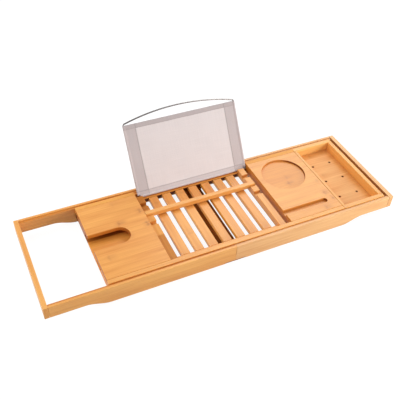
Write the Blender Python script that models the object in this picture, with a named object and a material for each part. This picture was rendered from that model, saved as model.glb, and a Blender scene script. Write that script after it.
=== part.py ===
"""Bath tray of bamboo with two sliding arms, a book stand, a stop bar and a lift-out soap tray.

World axes: X along the length, Y from front to back, Z up, in metres.
Places are given from the left end, the front face and the top of the closed arms.
The origin is the centre of the underside of the centre brace, level with the deep part of the arms.
"""

import math

import bmesh
import bpy
from mathutils import Matrix, Vector

MM = 0.001

# Arms
LENGTH = 750 * MM
WIDTH = 230 * MM
FRAME_DEPTH = 40 * MM
END_DEPTH_SHARE = 0.7
RAIL_THICKNESS = 9.5 * MM
LEFT_END_THICKNESS = 9 * MM
RIGHT_END_THICKNESS = 10 * MM
CURVE_FROM_END = 74 * MM
CURVE_LENGTH = 48 * MM
CURVE_STEPS = 12
REBATE_WIDTH = 4.5 * MM
REBATE_DEPTH = 2.4 * MM

# Centre brace
BRACE_WIDTH = 43.5 * MM
BRACE_THICKNESS = 7 * MM
BRACE_INSET = 0.5 * MM
TONGUE_THICKNESS = 2.5 * MM
BRACE_BLOCK_WIDTH = 14 * MM

# Fits
JOINT_GAP = 0.3 * MM
EDGE_ROUNDING = 0.5 * MM
ROUNDING_STEPS = 2
SHARP_ANGLE = 40
CUT_MARGIN = 2 * MM

# Places of the bays, as shares of the length from the left end
TRAY_LEFT_SHARE = 0.16067
GLASS_RIGHT_SHARE = 0.32693
BAY_RIGHT_SHARE = 0.67733
CUP_PANEL_RIGHT_SHARE = 0.84227

# Tray body
SIDE_RAIL_THICKNESS = 9 * MM
SIDE_RAIL_DEPTH_SHARE = 0.6875
RUNNER_TOP = 12 * MM
RUNNER_HEIGHT = 4.4 * MM
RUNNER_DEPTH = 3 * MM

# Glass holder
BOARD_THICKNESS = 9 * MM
SLOT_WIDTH = 42.4 * MM
SLOT_LENGTH = 79.5 * MM
CAVITY_WIDTH = 98 * MM
CAVITY_FORWARD = 10 * MM
CAVITY_HEIGHT = 9 * MM
SHELF_THICKNESS = 5 * MM
CROSS_RAIL_THICKNESS = 8.7 * MM

# Rack
RACK_DROP = 12 * MM
SLAT_COUNT = 7
SLAT_SHARE = 0.56370
LAST_GAP_EXTRA = 1.75 * MM
COVER_STRIP_HEIGHT = 2.7 * MM
LEFT_NOTCHED_RAIL_WIDTH = 15.6 * MM
RIGHT_NOTCHED_RAIL_WIDTH = 14 * MM
RIGHT_RAIL_SPACE = 9.5 * MM
NOTCHED_RAIL_DROP = 5 * MM
NOTCH_FLOOR_DROP = 11 * MM
NOTCH_WIDTH = 10 * MM
NOTCH_PITCH = 28 * MM
NOTCH_COUNT = 3
NOTCH_SETBACK = 29.4 * MM
BAR_NOTCH = 1
FRONT_RACK_RAIL_WIDTH = 11.9 * MM
BACK_RACK_RAIL_WIDTH = 7.4 * MM
SEAT_DROP = 11.5 * MM
SEAT_LIP = 3.5 * MM
SEAT_LIP_DROP = 4 * MM

# Stop bar
BAR_LEFT_SETBACK = 0.5 * MM
BAR_RIGHT_SETBACK = 2.3 * MM
BAR_HEIGHT = 10 * MM

# Cup panel
CUP_PANEL_THICKNESS = 18 * MM
CUP_LEFTWARD = 1.5 * MM
CUP_FROM_BACK = 77.5 * MM
CUP_RADIUS = 47.5 * MM
CUP_DEPTH = 4 * MM
PHONE_SLOT_FRONT = 40.7 * MM
PHONE_SLOT_WIDTH = 12.3 * MM
PHONE_SLOT_SHARE = 0.8404
PHONE_SLOT_DEPTH = 6 * MM

# Soap tray
SOAP_SIDE_GAP = 0.6 * MM
FINGER_GAP = 6.4 * MM
SOAP_WALL = 9 * MM
SOAP_LEFT_WALL = 5.7 * MM
SOAP_FLOOR_THICKNESS = 3.5 * MM
SOAP_REST_THICKNESS = 2.7 * MM
DRAIN_RADIUS = 1.6 * MM
DRAIN_COLUMN_SHARES = (0.246, 0.763)
DRAIN_ROW_SHARES = (0.217, 0.495, 0.773)

# Book stand
WIRE_RADIUS = 1.4 * MM
WIRE_LEFT_SPACE = 8.2 * MM
WIRE_RIGHT_SPACE = 3.1 * MM
LEAN_ANGLE = 58
SIDE_HEIGHT = 152 * MM
ARCH_RISE = 16.7 * MM
CORNER_RADIUS = 6 * MM
CLOTH_BELOW_ARCH = 5 * MM
CLOTH_THICKNESS = 0.4 * MM
CLOTH_LAYERS = 2
CORNER_CUT = 3 * MM
SLEEVE_STEP = 0.6 * MM
WIRE_SIDES = 16
ARCH_STEPS = 22
CORNER_STEPS = 5
HOLE_SIDES = 32
RECESS_SIDES = 72
SLEEVE_SIDES = 24

# Shares of one surface colour, red green blue
BAMBOO = (0.80, 0.50, 0.24)
CHROME = (0.82, 0.83, 0.85)
CLOTH_GREY = (0.62, 0.59, 0.58)

# Places that follow from the sizes above
TRAY_LEFT = LENGTH * TRAY_LEFT_SHARE
GLASS_RIGHT = LENGTH * GLASS_RIGHT_SHARE
BAY_RIGHT = LENGTH * BAY_RIGHT_SHARE
CUP_PANEL_RIGHT = LENGTH * CUP_PANEL_RIGHT_SHARE
RIGHT_END_X = LENGTH - RIGHT_END_THICKNESS
END_DEPTH = FRAME_DEPTH * END_DEPTH_SHARE
SIDE_RAIL_DEPTH = FRAME_DEPTH * SIDE_RAIL_DEPTH_SHARE
LEDGE_DROP = SIDE_RAIL_DEPTH - SOAP_REST_THICKNESS
BACK_RAIL_Y = WIDTH - RAIL_THICKNESS
SIDE_FRONT_Y = RAIL_THICKNESS + JOINT_GAP
SIDE_FRONT_INNER_Y = SIDE_FRONT_Y + SIDE_RAIL_THICKNESS
SIDE_BACK_Y = WIDTH - SIDE_FRONT_Y
SIDE_BACK_INNER_Y = SIDE_BACK_Y - SIDE_RAIL_THICKNESS
INNER_FRONT_Y = SIDE_FRONT_INNER_Y + JOINT_GAP
INNER_BACK_Y = SIDE_BACK_INNER_Y - JOINT_GAP
BAY_LEFT = GLASS_RIGHT + JOINT_GAP
CUP_PANEL_LEFT = BAY_RIGHT + JOINT_GAP
NOTCHED_RAIL_RIGHT = BAY_RIGHT - RIGHT_RAIL_SPACE
RACK_LEFT = BAY_LEFT + LEFT_NOTCHED_RAIL_WIDTH
RACK_RIGHT = NOTCHED_RAIL_RIGHT - RIGHT_NOTCHED_RAIL_WIDTH
RACK_BOTTOM = RACK_DROP + BOARD_THICKNESS
RACK_SPAN = RACK_RIGHT - RACK_LEFT - LAST_GAP_EXTRA
SLAT_WIDTH = RACK_SPAN * SLAT_SHARE / SLAT_COUNT
SLAT_GAP = (RACK_SPAN - SLAT_COUNT * SLAT_WIDTH) / (SLAT_COUNT + 1)
FRONT_RACK_RAIL_BACK = INNER_FRONT_Y + FRONT_RACK_RAIL_WIDTH
BACK_RACK_RAIL_FRONT = INNER_BACK_Y - BACK_RACK_RAIL_WIDTH
FIRST_NOTCH_Y = INNER_BACK_Y - NOTCH_SETBACK - (NOTCH_COUNT - 1) * NOTCH_PITCH
BAR_LEFT = BAY_LEFT + BAR_LEFT_SETBACK
BAR_RIGHT = NOTCHED_RAIL_RIGHT - BAR_RIGHT_SETBACK
CAVITY_FRONT = (WIDTH - CAVITY_WIDTH) / 2 - CAVITY_FORWARD
CAVITY_BACK = CAVITY_FRONT + CAVITY_WIDTH
CUP_X = (CUP_PANEL_LEFT + CUP_PANEL_RIGHT) / 2 - CUP_LEFTWARD
CUP_Y = WIDTH - CUP_FROM_BACK
PHONE_SLOT_END_X = CUP_PANEL_LEFT + (CUP_PANEL_RIGHT - CUP_PANEL_LEFT) * PHONE_SLOT_SHARE
SOAP_LEFT = CUP_PANEL_RIGHT + SOAP_SIDE_GAP
SOAP_RIGHT = RIGHT_END_X - FINGER_GAP
WIRE_LEFT_X = BAY_LEFT + WIRE_LEFT_SPACE
WIRE_RIGHT_X = BAY_RIGHT - WIRE_RIGHT_SPACE
CLOTH_TOP = SIDE_HEIGHT - CLOTH_BELOW_ARCH
ARCH_HEIGHT = SIDE_HEIGHT + ARCH_RISE
SOAP_BOTTOM = LEDGE_DROP - JOINT_GAP
SOAP_INSIDE_DEPTH = SOAP_BOTTOM - SOAP_FLOOR_THICKNESS
SLEEVE_INNER = WIRE_RADIUS + JOINT_GAP
SLEEVE_OUTER = SLEEVE_INNER + CLOTH_THICKNESS
LEAN = math.radians(LEAN_ANGLE)
FOOT_DROP = SEAT_DROP - JOINT_GAP - SLEEVE_OUTER
LEAN_RISE = FOOT_DROP - SEAT_LIP_DROP
LIP_Y = SIDE_BACK_Y - SEAT_LIP
FOOT_Y = LIP_Y - LEAN_RISE / math.tan(LEAN) - (SLEEVE_OUTER + JOINT_GAP) / math.sin(LEAN)
NOTCHED_RAIL_BACK = FOOT_Y - SLEEVE_OUTER - JOINT_GAP
BRACE_LEFT = (LENGTH - BRACE_WIDTH) / 2
BRACE_RIGHT = BRACE_LEFT + BRACE_WIDTH
BAR_Y = FIRST_NOTCH_Y + BAR_NOTCH * NOTCH_PITCH
BAR_BOTTOM = NOTCH_FLOOR_DROP - JOINT_GAP
BAR_TOP = BAR_BOTTOM - BAR_HEIGHT

# Outward and inward shares of the half-way point used for the smooth curve under the rails
CURVE_SQUARE_SHARE = 3
CURVE_CUBE_SHARE = 2


def world(x, y, drop):
    """Point measured from the left end, the front face and the top, in world axes."""
    return Vector((x - LENGTH / 2, y - WIDTH / 2, FRAME_DEPTH - drop))


TRAY_ORIGIN = Vector((0, 0, 0))
LEFT_ARM_ORIGIN = world(0, WIDTH / 2, RUNNER_TOP)
RIGHT_ARM_ORIGIN = world(LENGTH, WIDTH / 2, RUNNER_TOP)
SOAP_ORIGIN = world((SOAP_LEFT + SOAP_RIGHT) / 2, WIDTH / 2, SOAP_BOTTOM)
BAR_ORIGIN = world((BAR_LEFT + BAR_RIGHT) / 2, BAR_Y, BAR_BOTTOM)
STAND_ORIGIN = world((WIRE_LEFT_X + WIRE_RIGHT_X) / 2, FOOT_Y, FOOT_DROP)


def clear_objects():
    for item in list(bpy.data.objects):
        bpy.data.objects.remove(item)


def make_material(name, colour, metallic, roughness):
    material = bpy.data.materials.new(name)
    material.use_nodes = True
    shader = material.node_tree.nodes["Principled BSDF"]
    shader.inputs["Base Color"].default_value = (colour[0], colour[1], colour[2], 1)
    shader.inputs["Metallic"].default_value = metallic
    shader.inputs["Roughness"].default_value = roughness
    material.diffuse_color = (colour[0], colour[1], colour[2], 1)
    return material


def wood(name):
    wood_roughness = 0.42
    return make_material(name + "_bamboo", BAMBOO, 0, wood_roughness)


def new_object(name, shape):
    mesh = bpy.data.meshes.new(name)
    bmesh.ops.recalc_face_normals(shape, faces=shape.faces)
    shape.to_mesh(mesh)
    shape.free()
    item = bpy.data.objects.new(name, mesh)
    bpy.context.scene.collection.objects.link(item)
    return item


def prism_shape(bottom_ring, top_ring):
    """Closed body between two rings of the same number of points."""
    shape = bmesh.new()
    low = [shape.verts.new(point) for point in bottom_ring]
    high = [shape.verts.new(point) for point in top_ring]
    shape.faces.new(low[::-1])
    shape.faces.new(high)
    count = len(low)
    for index in range(count):
        after = (index + 1) % count
        shape.faces.new((low[index], low[after], high[after], high[index]))
    return shape


def box_shape(x_range, y_range, drop_range):
    corners = [(x_range[0], y_range[0]), (x_range[1], y_range[0])]
    corners += [(x_range[1], y_range[1]), (x_range[0], y_range[1])]
    low = [world(x, y, drop_range[1]) for x, y in corners]
    high = [world(x, y, drop_range[0]) for x, y in corners]
    return prism_shape(low, high)


def long_prism(outline, y_range):
    """Outline in X and drop, drawn out from front to back."""
    front = [world(x, y_range[0], drop) for x, drop in outline]
    back = [world(x, y_range[1], drop) for x, drop in outline]
    return prism_shape(front, back)


def cross_prism(outline, x_range):
    """Outline in Y and drop, drawn out from left to right."""
    left = [world(x_range[0], y, drop) for y, drop in outline]
    right = [world(x_range[1], y, drop) for y, drop in outline]
    return prism_shape(left, right)


def upright_cylinder(x, y, radius, drop_range, sides):
    rings = []
    for drop in (drop_range[1], drop_range[0]):
        turns = [2 * math.pi * index / sides for index in range(sides)]
        ring = [world(x + radius * math.cos(turn), y + radius * math.sin(turn), drop) for turn in turns]
        rings.append(ring)
    return prism_shape(rings[0], rings[1])


def add_boolean(item, tool, operation):
    tool.hide_render = True
    tool.display_type = "WIRE"
    step = item.modifiers.new(operation.lower(), "BOOLEAN")
    step.operation = operation
    step.solver = "EXACT"
    step.object = tool


def add_rounding(item, width):
    step = item.modifiers.new("edge_rounding", "BEVEL")
    step.width = width
    step.segments = ROUNDING_STEPS
    step.limit_method = "ANGLE"
    step.angle_limit = math.radians(SHARP_ANGLE)
    step.use_clamp_overlap = True
    step.harden_normals = False


def bake(item, tools=()):
    """Replace the mesh of the item by the shape its modifiers give, then drop the tools."""
    bpy.context.view_layer.update()
    graph = bpy.context.evaluated_depsgraph_get()
    final = bpy.data.meshes.new_from_object(item.evaluated_get(graph))
    item.modifiers.clear()
    item.data = final
    for tool in tools:
        bpy.data.objects.remove(tool)


def set_origin(item, origin):
    item.data.transform(Matrix.Translation(-origin))
    item.location = origin


def dress(item, material):
    item.data.materials.clear()
    item.data.materials.append(material)
    item.data.name = item.name
    for face in item.data.polygons:
        face.use_smooth = True
        face.material_index = 0
    item.data.set_sharp_from_angle(angle=math.radians(SHARP_ANGLE))


def wooden_piece(name, shape, origin, cuts=()):
    """Wooden piece from a closed shape, less the cuts, with its edges eased."""
    item = new_object(name, shape)
    tools = []
    for number, cut in enumerate(cuts):
        tool = new_object(name + "_cutter_" + str(number), cut)
        add_boolean(item, tool, "DIFFERENCE")
        tools.append(tool)
    add_rounding(item, EDGE_ROUNDING)
    bake(item, tools)
    set_origin(item, origin)
    dress(item, wood(name))
    return item


def curve_share(share):
    """Smooth rise from nothing to the whole over the length of the curve."""
    return share * share * (CURVE_SQUARE_SHARE - CURVE_CUBE_SHARE * share)


def rail_outline(end_thickness):
    """Left half of a long rail seen from the front: shallow end, curve, deep middle, notch for the brace."""
    outer = end_thickness + JOINT_GAP
    middle = (LENGTH - JOINT_GAP) / 2
    notch_start = BRACE_LEFT - JOINT_GAP
    notch_top = FRAME_DEPTH - TONGUE_THICKNESS - JOINT_GAP
    outline = [(outer, 0), (outer, END_DEPTH)]
    for step in range(CURVE_STEPS + 1):
        share = step / CURVE_STEPS
        x = CURVE_FROM_END + CURVE_LENGTH * share
        drop = END_DEPTH + (FRAME_DEPTH - END_DEPTH) * curve_share(share)
        outline.append((x, drop))
    outline += [(notch_start, FRAME_DEPTH), (notch_start, notch_top)]
    outline += [(middle, notch_top), (middle, 0)]
    return outline


def mirrored_outline(outline):
    return [(LENGTH - x, drop) for x, drop in reversed(outline)]


def rebate_cut(y_range):
    x_range = (-CUT_MARGIN, LENGTH + CUT_MARGIN)
    return box_shape(x_range, y_range, (-CUT_MARGIN, REBATE_DEPTH))


def groove_cut(x_range, y_range):
    drop_range = (RUNNER_TOP - JOINT_GAP, RUNNER_TOP + RUNNER_HEIGHT + JOINT_GAP)
    return box_shape(x_range, y_range, drop_range)


def build_arm(side, outline, groove_x, end_x, origin):
    """One arm: front rail, back rail and end rail."""
    front_rebate = (RAIL_THICKNESS - REBATE_WIDTH, RAIL_THICKNESS + CUT_MARGIN)
    front_groove = (RAIL_THICKNESS - RUNNER_DEPTH - JOINT_GAP, RAIL_THICKNESS + CUT_MARGIN)
    front_cuts = [rebate_cut(front_rebate), groove_cut(groove_x, front_groove)]
    front = long_prism(outline, (0, RAIL_THICKNESS))
    wooden_piece("arm_rail_front_" + side, front, origin, front_cuts)
    back_rebate = (WIDTH - front_rebate[1], WIDTH - front_rebate[0])
    back_groove = (WIDTH - front_groove[1], WIDTH - front_groove[0])
    back_cuts = [rebate_cut(back_rebate), groove_cut(groove_x, back_groove)]
    back = long_prism(outline, (BACK_RAIL_Y, WIDTH))
    wooden_piece("arm_rail_back_" + side, back, origin, back_cuts)
    end = box_shape(end_x, (0, WIDTH), (0, END_DEPTH))
    wooden_piece("arm_end_rail_" + side, end, origin)


def build_arms():
    middle = LENGTH / 2
    left_groove = (TRAY_LEFT - JOINT_GAP, middle + CUT_MARGIN)
    left_outline = rail_outline(LEFT_END_THICKNESS)
    build_arm("left", left_outline, left_groove, (0, LEFT_END_THICKNESS), LEFT_ARM_ORIGIN)
    right_groove = (middle - CUT_MARGIN, CUP_PANEL_RIGHT + JOINT_GAP)
    right_outline = mirrored_outline(rail_outline(RIGHT_END_THICKNESS))
    build_arm("right", right_outline, right_groove, (RIGHT_END_X, LENGTH), RIGHT_ARM_ORIGIN)


def build_brace():
    """Brace under the middle, its thin tongues below the ends of the arms."""
    tongue_top = FRAME_DEPTH - TONGUE_THICKNESS
    brace_top = FRAME_DEPTH - BRACE_THICKNESS
    front = [(BRACE_INSET, FRAME_DEPTH), (BRACE_INSET, tongue_top)]
    front += [(SIDE_FRONT_Y, tongue_top), (SIDE_FRONT_Y, brace_top)]
    back = [(WIDTH - y, drop) for y, drop in reversed(front)]
    brace_x = (BRACE_LEFT, BRACE_RIGHT)
    wooden_piece("centre_brace", cross_prism(front + back, brace_x), TRAY_ORIGIN)
    block_drop = (SIDE_RAIL_DEPTH + JOINT_GAP, brace_top - JOINT_GAP)
    front_y = (SIDE_FRONT_Y, SIDE_FRONT_Y + BRACE_BLOCK_WIDTH)
    back_y = (SIDE_BACK_Y - BRACE_BLOCK_WIDTH, SIDE_BACK_Y)
    wooden_piece("brace_block_front", box_shape(brace_x, front_y, block_drop), TRAY_ORIGIN)
    wooden_piece("brace_block_back", box_shape(brace_x, back_y, block_drop), TRAY_ORIGIN)


def side_rail_outline():
    """Side rail seen from the front: full height, low where the soap tray stands on it."""
    step_x = CUP_PANEL_RIGHT
    outline = [(TRAY_LEFT, 0), (step_x, 0), (step_x, LEDGE_DROP), (SOAP_RIGHT, LEDGE_DROP)]
    outline += [(SOAP_RIGHT, SIDE_RAIL_DEPTH), (TRAY_LEFT, SIDE_RAIL_DEPTH)]
    return outline


def build_side_rails():
    front = long_prism(side_rail_outline(), (SIDE_FRONT_Y, SIDE_FRONT_INNER_Y))
    wooden_piece("side_rail_front", front, TRAY_ORIGIN)
    back = long_prism(side_rail_outline(), (SIDE_BACK_INNER_Y, SIDE_BACK_Y))
    seat_y = (SIDE_BACK_INNER_Y - CUT_MARGIN, LIP_Y)
    seat = box_shape((BAY_LEFT, BAY_RIGHT), seat_y, (-CUT_MARGIN, SEAT_DROP))
    lip_y = (SIDE_BACK_INNER_Y - CUT_MARGIN, SIDE_BACK_Y + CUT_MARGIN)
    lip = box_shape((BAY_LEFT, BAY_RIGHT), lip_y, (-CUT_MARGIN, SEAT_LIP_DROP))
    wooden_piece("side_rail_back", back, TRAY_ORIGIN, [seat, lip])
    runner_x = (TRAY_LEFT, CUP_PANEL_RIGHT)
    runner_drop = (RUNNER_TOP, RUNNER_TOP + RUNNER_HEIGHT)
    runner_y = (RAIL_THICKNESS - RUNNER_DEPTH, RAIL_THICKNESS)
    wooden_piece("runner_front", box_shape(runner_x, runner_y, runner_drop), TRAY_ORIGIN)
    runner_y = (BACK_RAIL_Y, BACK_RAIL_Y + RUNNER_DEPTH)
    wooden_piece("runner_back", box_shape(runner_x, runner_y, runner_drop), TRAY_ORIGIN)
    strip_x = (SOAP_RIGHT - SOAP_WALL, SOAP_RIGHT)
    strip = box_shape(strip_x, (INNER_FRONT_Y, INNER_BACK_Y), (LEDGE_DROP, SIDE_RAIL_DEPTH))
    wooden_piece("soap_rest_strip", strip, TRAY_ORIGIN)


def slot_cut(start_x, end_x, middle_y, width, drop_range, sides):
    """Slot open at its left end and round at its right end."""
    radius = width / 2
    centre_x = end_x - radius
    outline = [(start_x, middle_y + radius), (start_x, middle_y - radius)]
    for step in range(sides + 1):
        turn = math.pi * step / sides - math.pi / 2
        outline.append((centre_x + radius * math.cos(turn), middle_y + radius * math.sin(turn)))
    low = [world(x, y, drop_range[1]) for x, y in outline]
    high = [world(x, y, drop_range[0]) for x, y in outline]
    return prism_shape(low, high)


def build_glass_holder():
    panel_x = (TRAY_LEFT, GLASS_RIGHT)
    inner_y = (INNER_FRONT_Y, INNER_BACK_Y)
    through = (-CUT_MARGIN, BOARD_THICKNESS + CUT_MARGIN)
    slot_end = TRAY_LEFT + SLOT_LENGTH
    slot = slot_cut(TRAY_LEFT - CUT_MARGIN, slot_end, WIDTH / 2, SLOT_WIDTH, through, HOLE_SIDES)
    panel = box_shape(panel_x, inner_y, (0, BOARD_THICKNESS))
    wooden_piece("glass_panel", panel, TRAY_ORIGIN, [slot])
    cavity_top = BOARD_THICKNESS + JOINT_GAP
    cavity_drop = (cavity_top, cavity_top + CAVITY_HEIGHT)
    cross_x = (GLASS_RIGHT - CROSS_RAIL_THICKNESS, GLASS_RIGHT)
    shelf_x = (TRAY_LEFT, cross_x[0] - JOINT_GAP)
    front_y = (INNER_FRONT_Y, CAVITY_FRONT)
    wooden_piece("glass_block_front", box_shape(shelf_x, front_y, cavity_drop), TRAY_ORIGIN)
    back_y = (CAVITY_BACK, INNER_BACK_Y)
    wooden_piece("glass_block_back", box_shape(shelf_x, back_y, cavity_drop), TRAY_ORIGIN)
    shelf_top = cavity_drop[1] + JOINT_GAP
    shelf = box_shape(shelf_x, inner_y, (shelf_top, shelf_top + SHELF_THICKNESS))
    wooden_piece("glass_shelf", shelf, TRAY_ORIGIN)
    cross = box_shape(cross_x, inner_y, (cavity_top, SIDE_RAIL_DEPTH))
    wooden_piece("rack_cross_rail", cross, TRAY_ORIGIN)


def notched_outline():
    """Notched rail seen from the left, with its row of notches and the step for the stand's foot."""
    outline = [(INNER_FRONT_Y, RACK_BOTTOM), (INNER_FRONT_Y, NOTCHED_RAIL_DROP)]
    for number in range(NOTCH_COUNT):
        middle = FIRST_NOTCH_Y + number * NOTCH_PITCH
        front = middle - NOTCH_WIDTH / 2
        back = middle + NOTCH_WIDTH / 2
        outline += [(front, NOTCHED_RAIL_DROP), (front, NOTCH_FLOOR_DROP)]
        outline += [(back, NOTCH_FLOOR_DROP), (back, NOTCHED_RAIL_DROP)]
    outline += [(NOTCHED_RAIL_BACK, NOTCHED_RAIL_DROP), (NOTCHED_RAIL_BACK, SEAT_DROP)]
    outline += [(INNER_BACK_Y, SEAT_DROP), (INNER_BACK_Y, RACK_BOTTOM)]
    return outline


def slat_outline():
    """Slat seen from the left, its back end let in under the thin back rail."""
    front_y = FRONT_RACK_RAIL_BACK + JOINT_GAP
    step_y = BACK_RACK_RAIL_FRONT - JOINT_GAP
    step_drop = RACK_DROP + COVER_STRIP_HEIGHT + JOINT_GAP
    outline = [(front_y, RACK_BOTTOM), (front_y, RACK_DROP), (step_y, RACK_DROP)]
    outline += [(step_y, step_drop), (INNER_BACK_Y, step_drop), (INNER_BACK_Y, RACK_BOTTOM)]
    return outline


def build_rack():
    left = cross_prism(notched_outline(), (BAY_LEFT, RACK_LEFT))
    wooden_piece("notched_rail_left", left, TRAY_ORIGIN)
    right = cross_prism(notched_outline(), (RACK_RIGHT, NOTCHED_RAIL_RIGHT))
    wooden_piece("notched_rail_right", right, TRAY_ORIGIN)
    rail_x = (RACK_LEFT + JOINT_GAP, RACK_RIGHT - JOINT_GAP)
    drops = (RACK_DROP, RACK_BOTTOM)
    front = box_shape(rail_x, (INNER_FRONT_Y, FRONT_RACK_RAIL_BACK), drops)
    wooden_piece("rack_rail_front", front, TRAY_ORIGIN)
    strip_drop = (RACK_DROP, RACK_DROP + COVER_STRIP_HEIGHT)
    back = box_shape(rail_x, (BACK_RACK_RAIL_FRONT, INNER_BACK_Y), strip_drop)
    wooden_piece("rack_rail_back", back, TRAY_ORIGIN)
    for number in range(SLAT_COUNT):
        start = RACK_LEFT + SLAT_GAP + number * (SLAT_WIDTH + SLAT_GAP)
        slat = cross_prism(slat_outline(), (start, start + SLAT_WIDTH))
        wooden_piece("rack_slat_" + str(number + 1), slat, TRAY_ORIGIN)


def build_cup_panel():
    panel_x = (CUP_PANEL_LEFT, CUP_PANEL_RIGHT)
    panel_y = (INNER_FRONT_Y, INNER_BACK_Y)
    panel = box_shape(panel_x, panel_y, (0, CUP_PANEL_THICKNESS))
    recess_drop = (-CUT_MARGIN, CUP_DEPTH)
    recess = upright_cylinder(CUP_X, CUP_Y, CUP_RADIUS, recess_drop, RECESS_SIDES)
    slot_y = PHONE_SLOT_FRONT + PHONE_SLOT_WIDTH / 2
    slot_left = CUP_PANEL_LEFT - CUT_MARGIN
    slot_drop = (-CUT_MARGIN, PHONE_SLOT_DEPTH)
    slot = slot_cut(slot_left, PHONE_SLOT_END_X, slot_y, PHONE_SLOT_WIDTH, slot_drop, HOLE_SIDES)
    wooden_piece("cup_panel", panel, TRAY_ORIGIN, [recess, slot])
    cross_x = (CUP_PANEL_LEFT, CUP_PANEL_LEFT + CROSS_RAIL_THICKNESS)
    cross_drop = (CUP_PANEL_THICKNESS + JOINT_GAP, SIDE_RAIL_DEPTH)
    wooden_piece("cup_cross_rail", box_shape(cross_x, panel_y, cross_drop), TRAY_ORIGIN)


def build_soap_tray():
    drops = (0, SOAP_BOTTOM)
    long_x = (SOAP_LEFT, SOAP_RIGHT)
    front_y = (SIDE_FRONT_Y, SIDE_FRONT_Y + SOAP_WALL)
    back_y = (SIDE_BACK_Y - SOAP_WALL, SIDE_BACK_Y)
    wooden_piece("soap_wall_front", box_shape(long_x, front_y, drops), SOAP_ORIGIN)
    wooden_piece("soap_wall_back", box_shape(long_x, back_y, drops), SOAP_ORIGIN)
    inside_y = (front_y[1] + JOINT_GAP, back_y[0] - JOINT_GAP)
    left_x = (SOAP_LEFT, SOAP_LEFT + SOAP_LEFT_WALL)
    right_x = (SOAP_RIGHT - SOAP_WALL, SOAP_RIGHT)
    wooden_piece("soap_wall_left", box_shape(left_x, inside_y, drops), SOAP_ORIGIN)
    wooden_piece("soap_wall_right", box_shape(right_x, inside_y, drops), SOAP_ORIGIN)
    floor_x = (left_x[1] + JOINT_GAP, right_x[0] - JOINT_GAP)
    floor = box_shape(floor_x, inside_y, (SOAP_INSIDE_DEPTH, SOAP_BOTTOM))
    through = (SOAP_INSIDE_DEPTH - CUT_MARGIN, SOAP_BOTTOM + CUT_MARGIN)
    drains = []
    for column_share in DRAIN_COLUMN_SHARES:
        column = floor_x[0] + (floor_x[1] - floor_x[0]) * column_share
        for row_share in DRAIN_ROW_SHARES:
            row = inside_y[0] + (inside_y[1] - inside_y[0]) * row_share
            drains.append(upright_cylinder(column, row, DRAIN_RADIUS, through, HOLE_SIDES))
    wooden_piece("soap_floor", floor, SOAP_ORIGIN, drains)


def build_stop_bar():
    bar_y = (BAR_Y - NOTCH_WIDTH / 2 + JOINT_GAP, BAR_Y + NOTCH_WIDTH / 2 - JOINT_GAP)
    bar = box_shape((BAR_LEFT, BAR_RIGHT), bar_y, (BAR_TOP, BAR_BOTTOM))
    wooden_piece("stop_bar", bar, BAR_ORIGIN)


def stand_matrix():
    """Turn the flat stand, X and height, so that it leans back on the frame."""
    return Matrix.Rotation(LEAN, 4, "X")


def half_span():
    return (WIRE_RIGHT_X - WIRE_LEFT_X) / 2


def arch_radius():
    return (half_span() ** 2 + ARCH_RISE ** 2) / (2 * ARCH_RISE)


def corner_centre():
    """Centre of the small bend that joins the left side wire to the arch."""
    radius = arch_radius()
    x = CORNER_RADIUS - half_span()
    height = math.sqrt((radius - CORNER_RADIUS) ** 2 - x ** 2)
    return x, ARCH_HEIGHT - radius + height


def wire_path():
    """Middle line of the bent wire: left side, bend, arch, bend, right side."""
    radius = arch_radius()
    bend_x, bend_height = corner_centre()
    arch_centre = ARCH_HEIGHT - radius
    meet = math.atan2(-bend_x, bend_height - arch_centre)
    path = [(-half_span(), WIRE_RADIUS + JOINT_GAP)]
    for step in range(CORNER_STEPS):
        turn = math.pi / 2 - (math.pi / 2 - meet) * step / CORNER_STEPS
        path.append((bend_x - CORNER_RADIUS * math.sin(turn), bend_height + CORNER_RADIUS * math.cos(turn)))
    for step in range(ARCH_STEPS + 1):
        turn = meet - 2 * meet * step / ARCH_STEPS
        path.append((-radius * math.sin(turn), arch_centre + radius * math.cos(turn)))
    return path + [(-x, height) for x, height in reversed(path[:CORNER_STEPS + 1])]


def path_direction(path, index):
    before = path[max(index - 1, 0)]
    after = path[min(index + 1, len(path) - 1)]
    return Vector((after[0] - before[0], after[1] - before[1], 0)).normalized()


def tube_shape(path, radius, sides):
    """Round wire along a flat path, with flat ends."""
    shape = bmesh.new()
    rings = []
    for index, point in enumerate(path):
        along = path_direction(path, index)
        across = Vector((-along.y, along.x, 0))
        ring = []
        for side in range(sides):
            turn = 2 * math.pi * side / sides
            offset = across * math.cos(turn) * radius
            height = math.sin(turn) * radius
            ring.append(shape.verts.new((point[0] + offset.x, point[1] + offset.y, height)))
        rings.append(ring)
    for low, high in zip(rings, rings[1:]):
        for side in range(sides):
            after = (side + 1) % sides
            shape.faces.new((low[side], low[after], high[after], high[side]))
    shape.faces.new(rings[0][::-1])
    shape.faces.new(rings[-1])
    return shape


def flat_box(x_range, height_range, thickness_range):
    corners = [(x_range[0], height_range[0]), (x_range[1], height_range[0])]
    corners += [(x_range[1], height_range[1]), (x_range[0], height_range[1])]
    low = [Vector((x, height, thickness_range[0])) for x, height in corners]
    high = [Vector((x, height, thickness_range[1])) for x, height in corners]
    return prism_shape(low, high)


def stand_piece(item, material):
    item.data.transform(stand_matrix())
    item.location = STAND_ORIGIN
    dress(item, material)


def build_stand_wires():
    metal_roughness = 0.18
    frame = new_object("stand_wire", tube_shape(wire_path(), WIRE_RADIUS, WIRE_SIDES))
    stand_piece(frame, make_material("stand_wire_chrome", CHROME, 1, metal_roughness))
    reach = half_span() + WIRE_RADIUS
    rod = new_object("stand_foot_rod", tube_shape([(-reach, 0), (reach, 0)], WIRE_RADIUS, WIRE_SIDES))
    stand_piece(rod, make_material("stand_foot_rod_chrome", CHROME, 1, metal_roughness))


def side_path(sign, low, high):
    return [(sign * half_span(), low), (sign * half_span(), high)]


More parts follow.
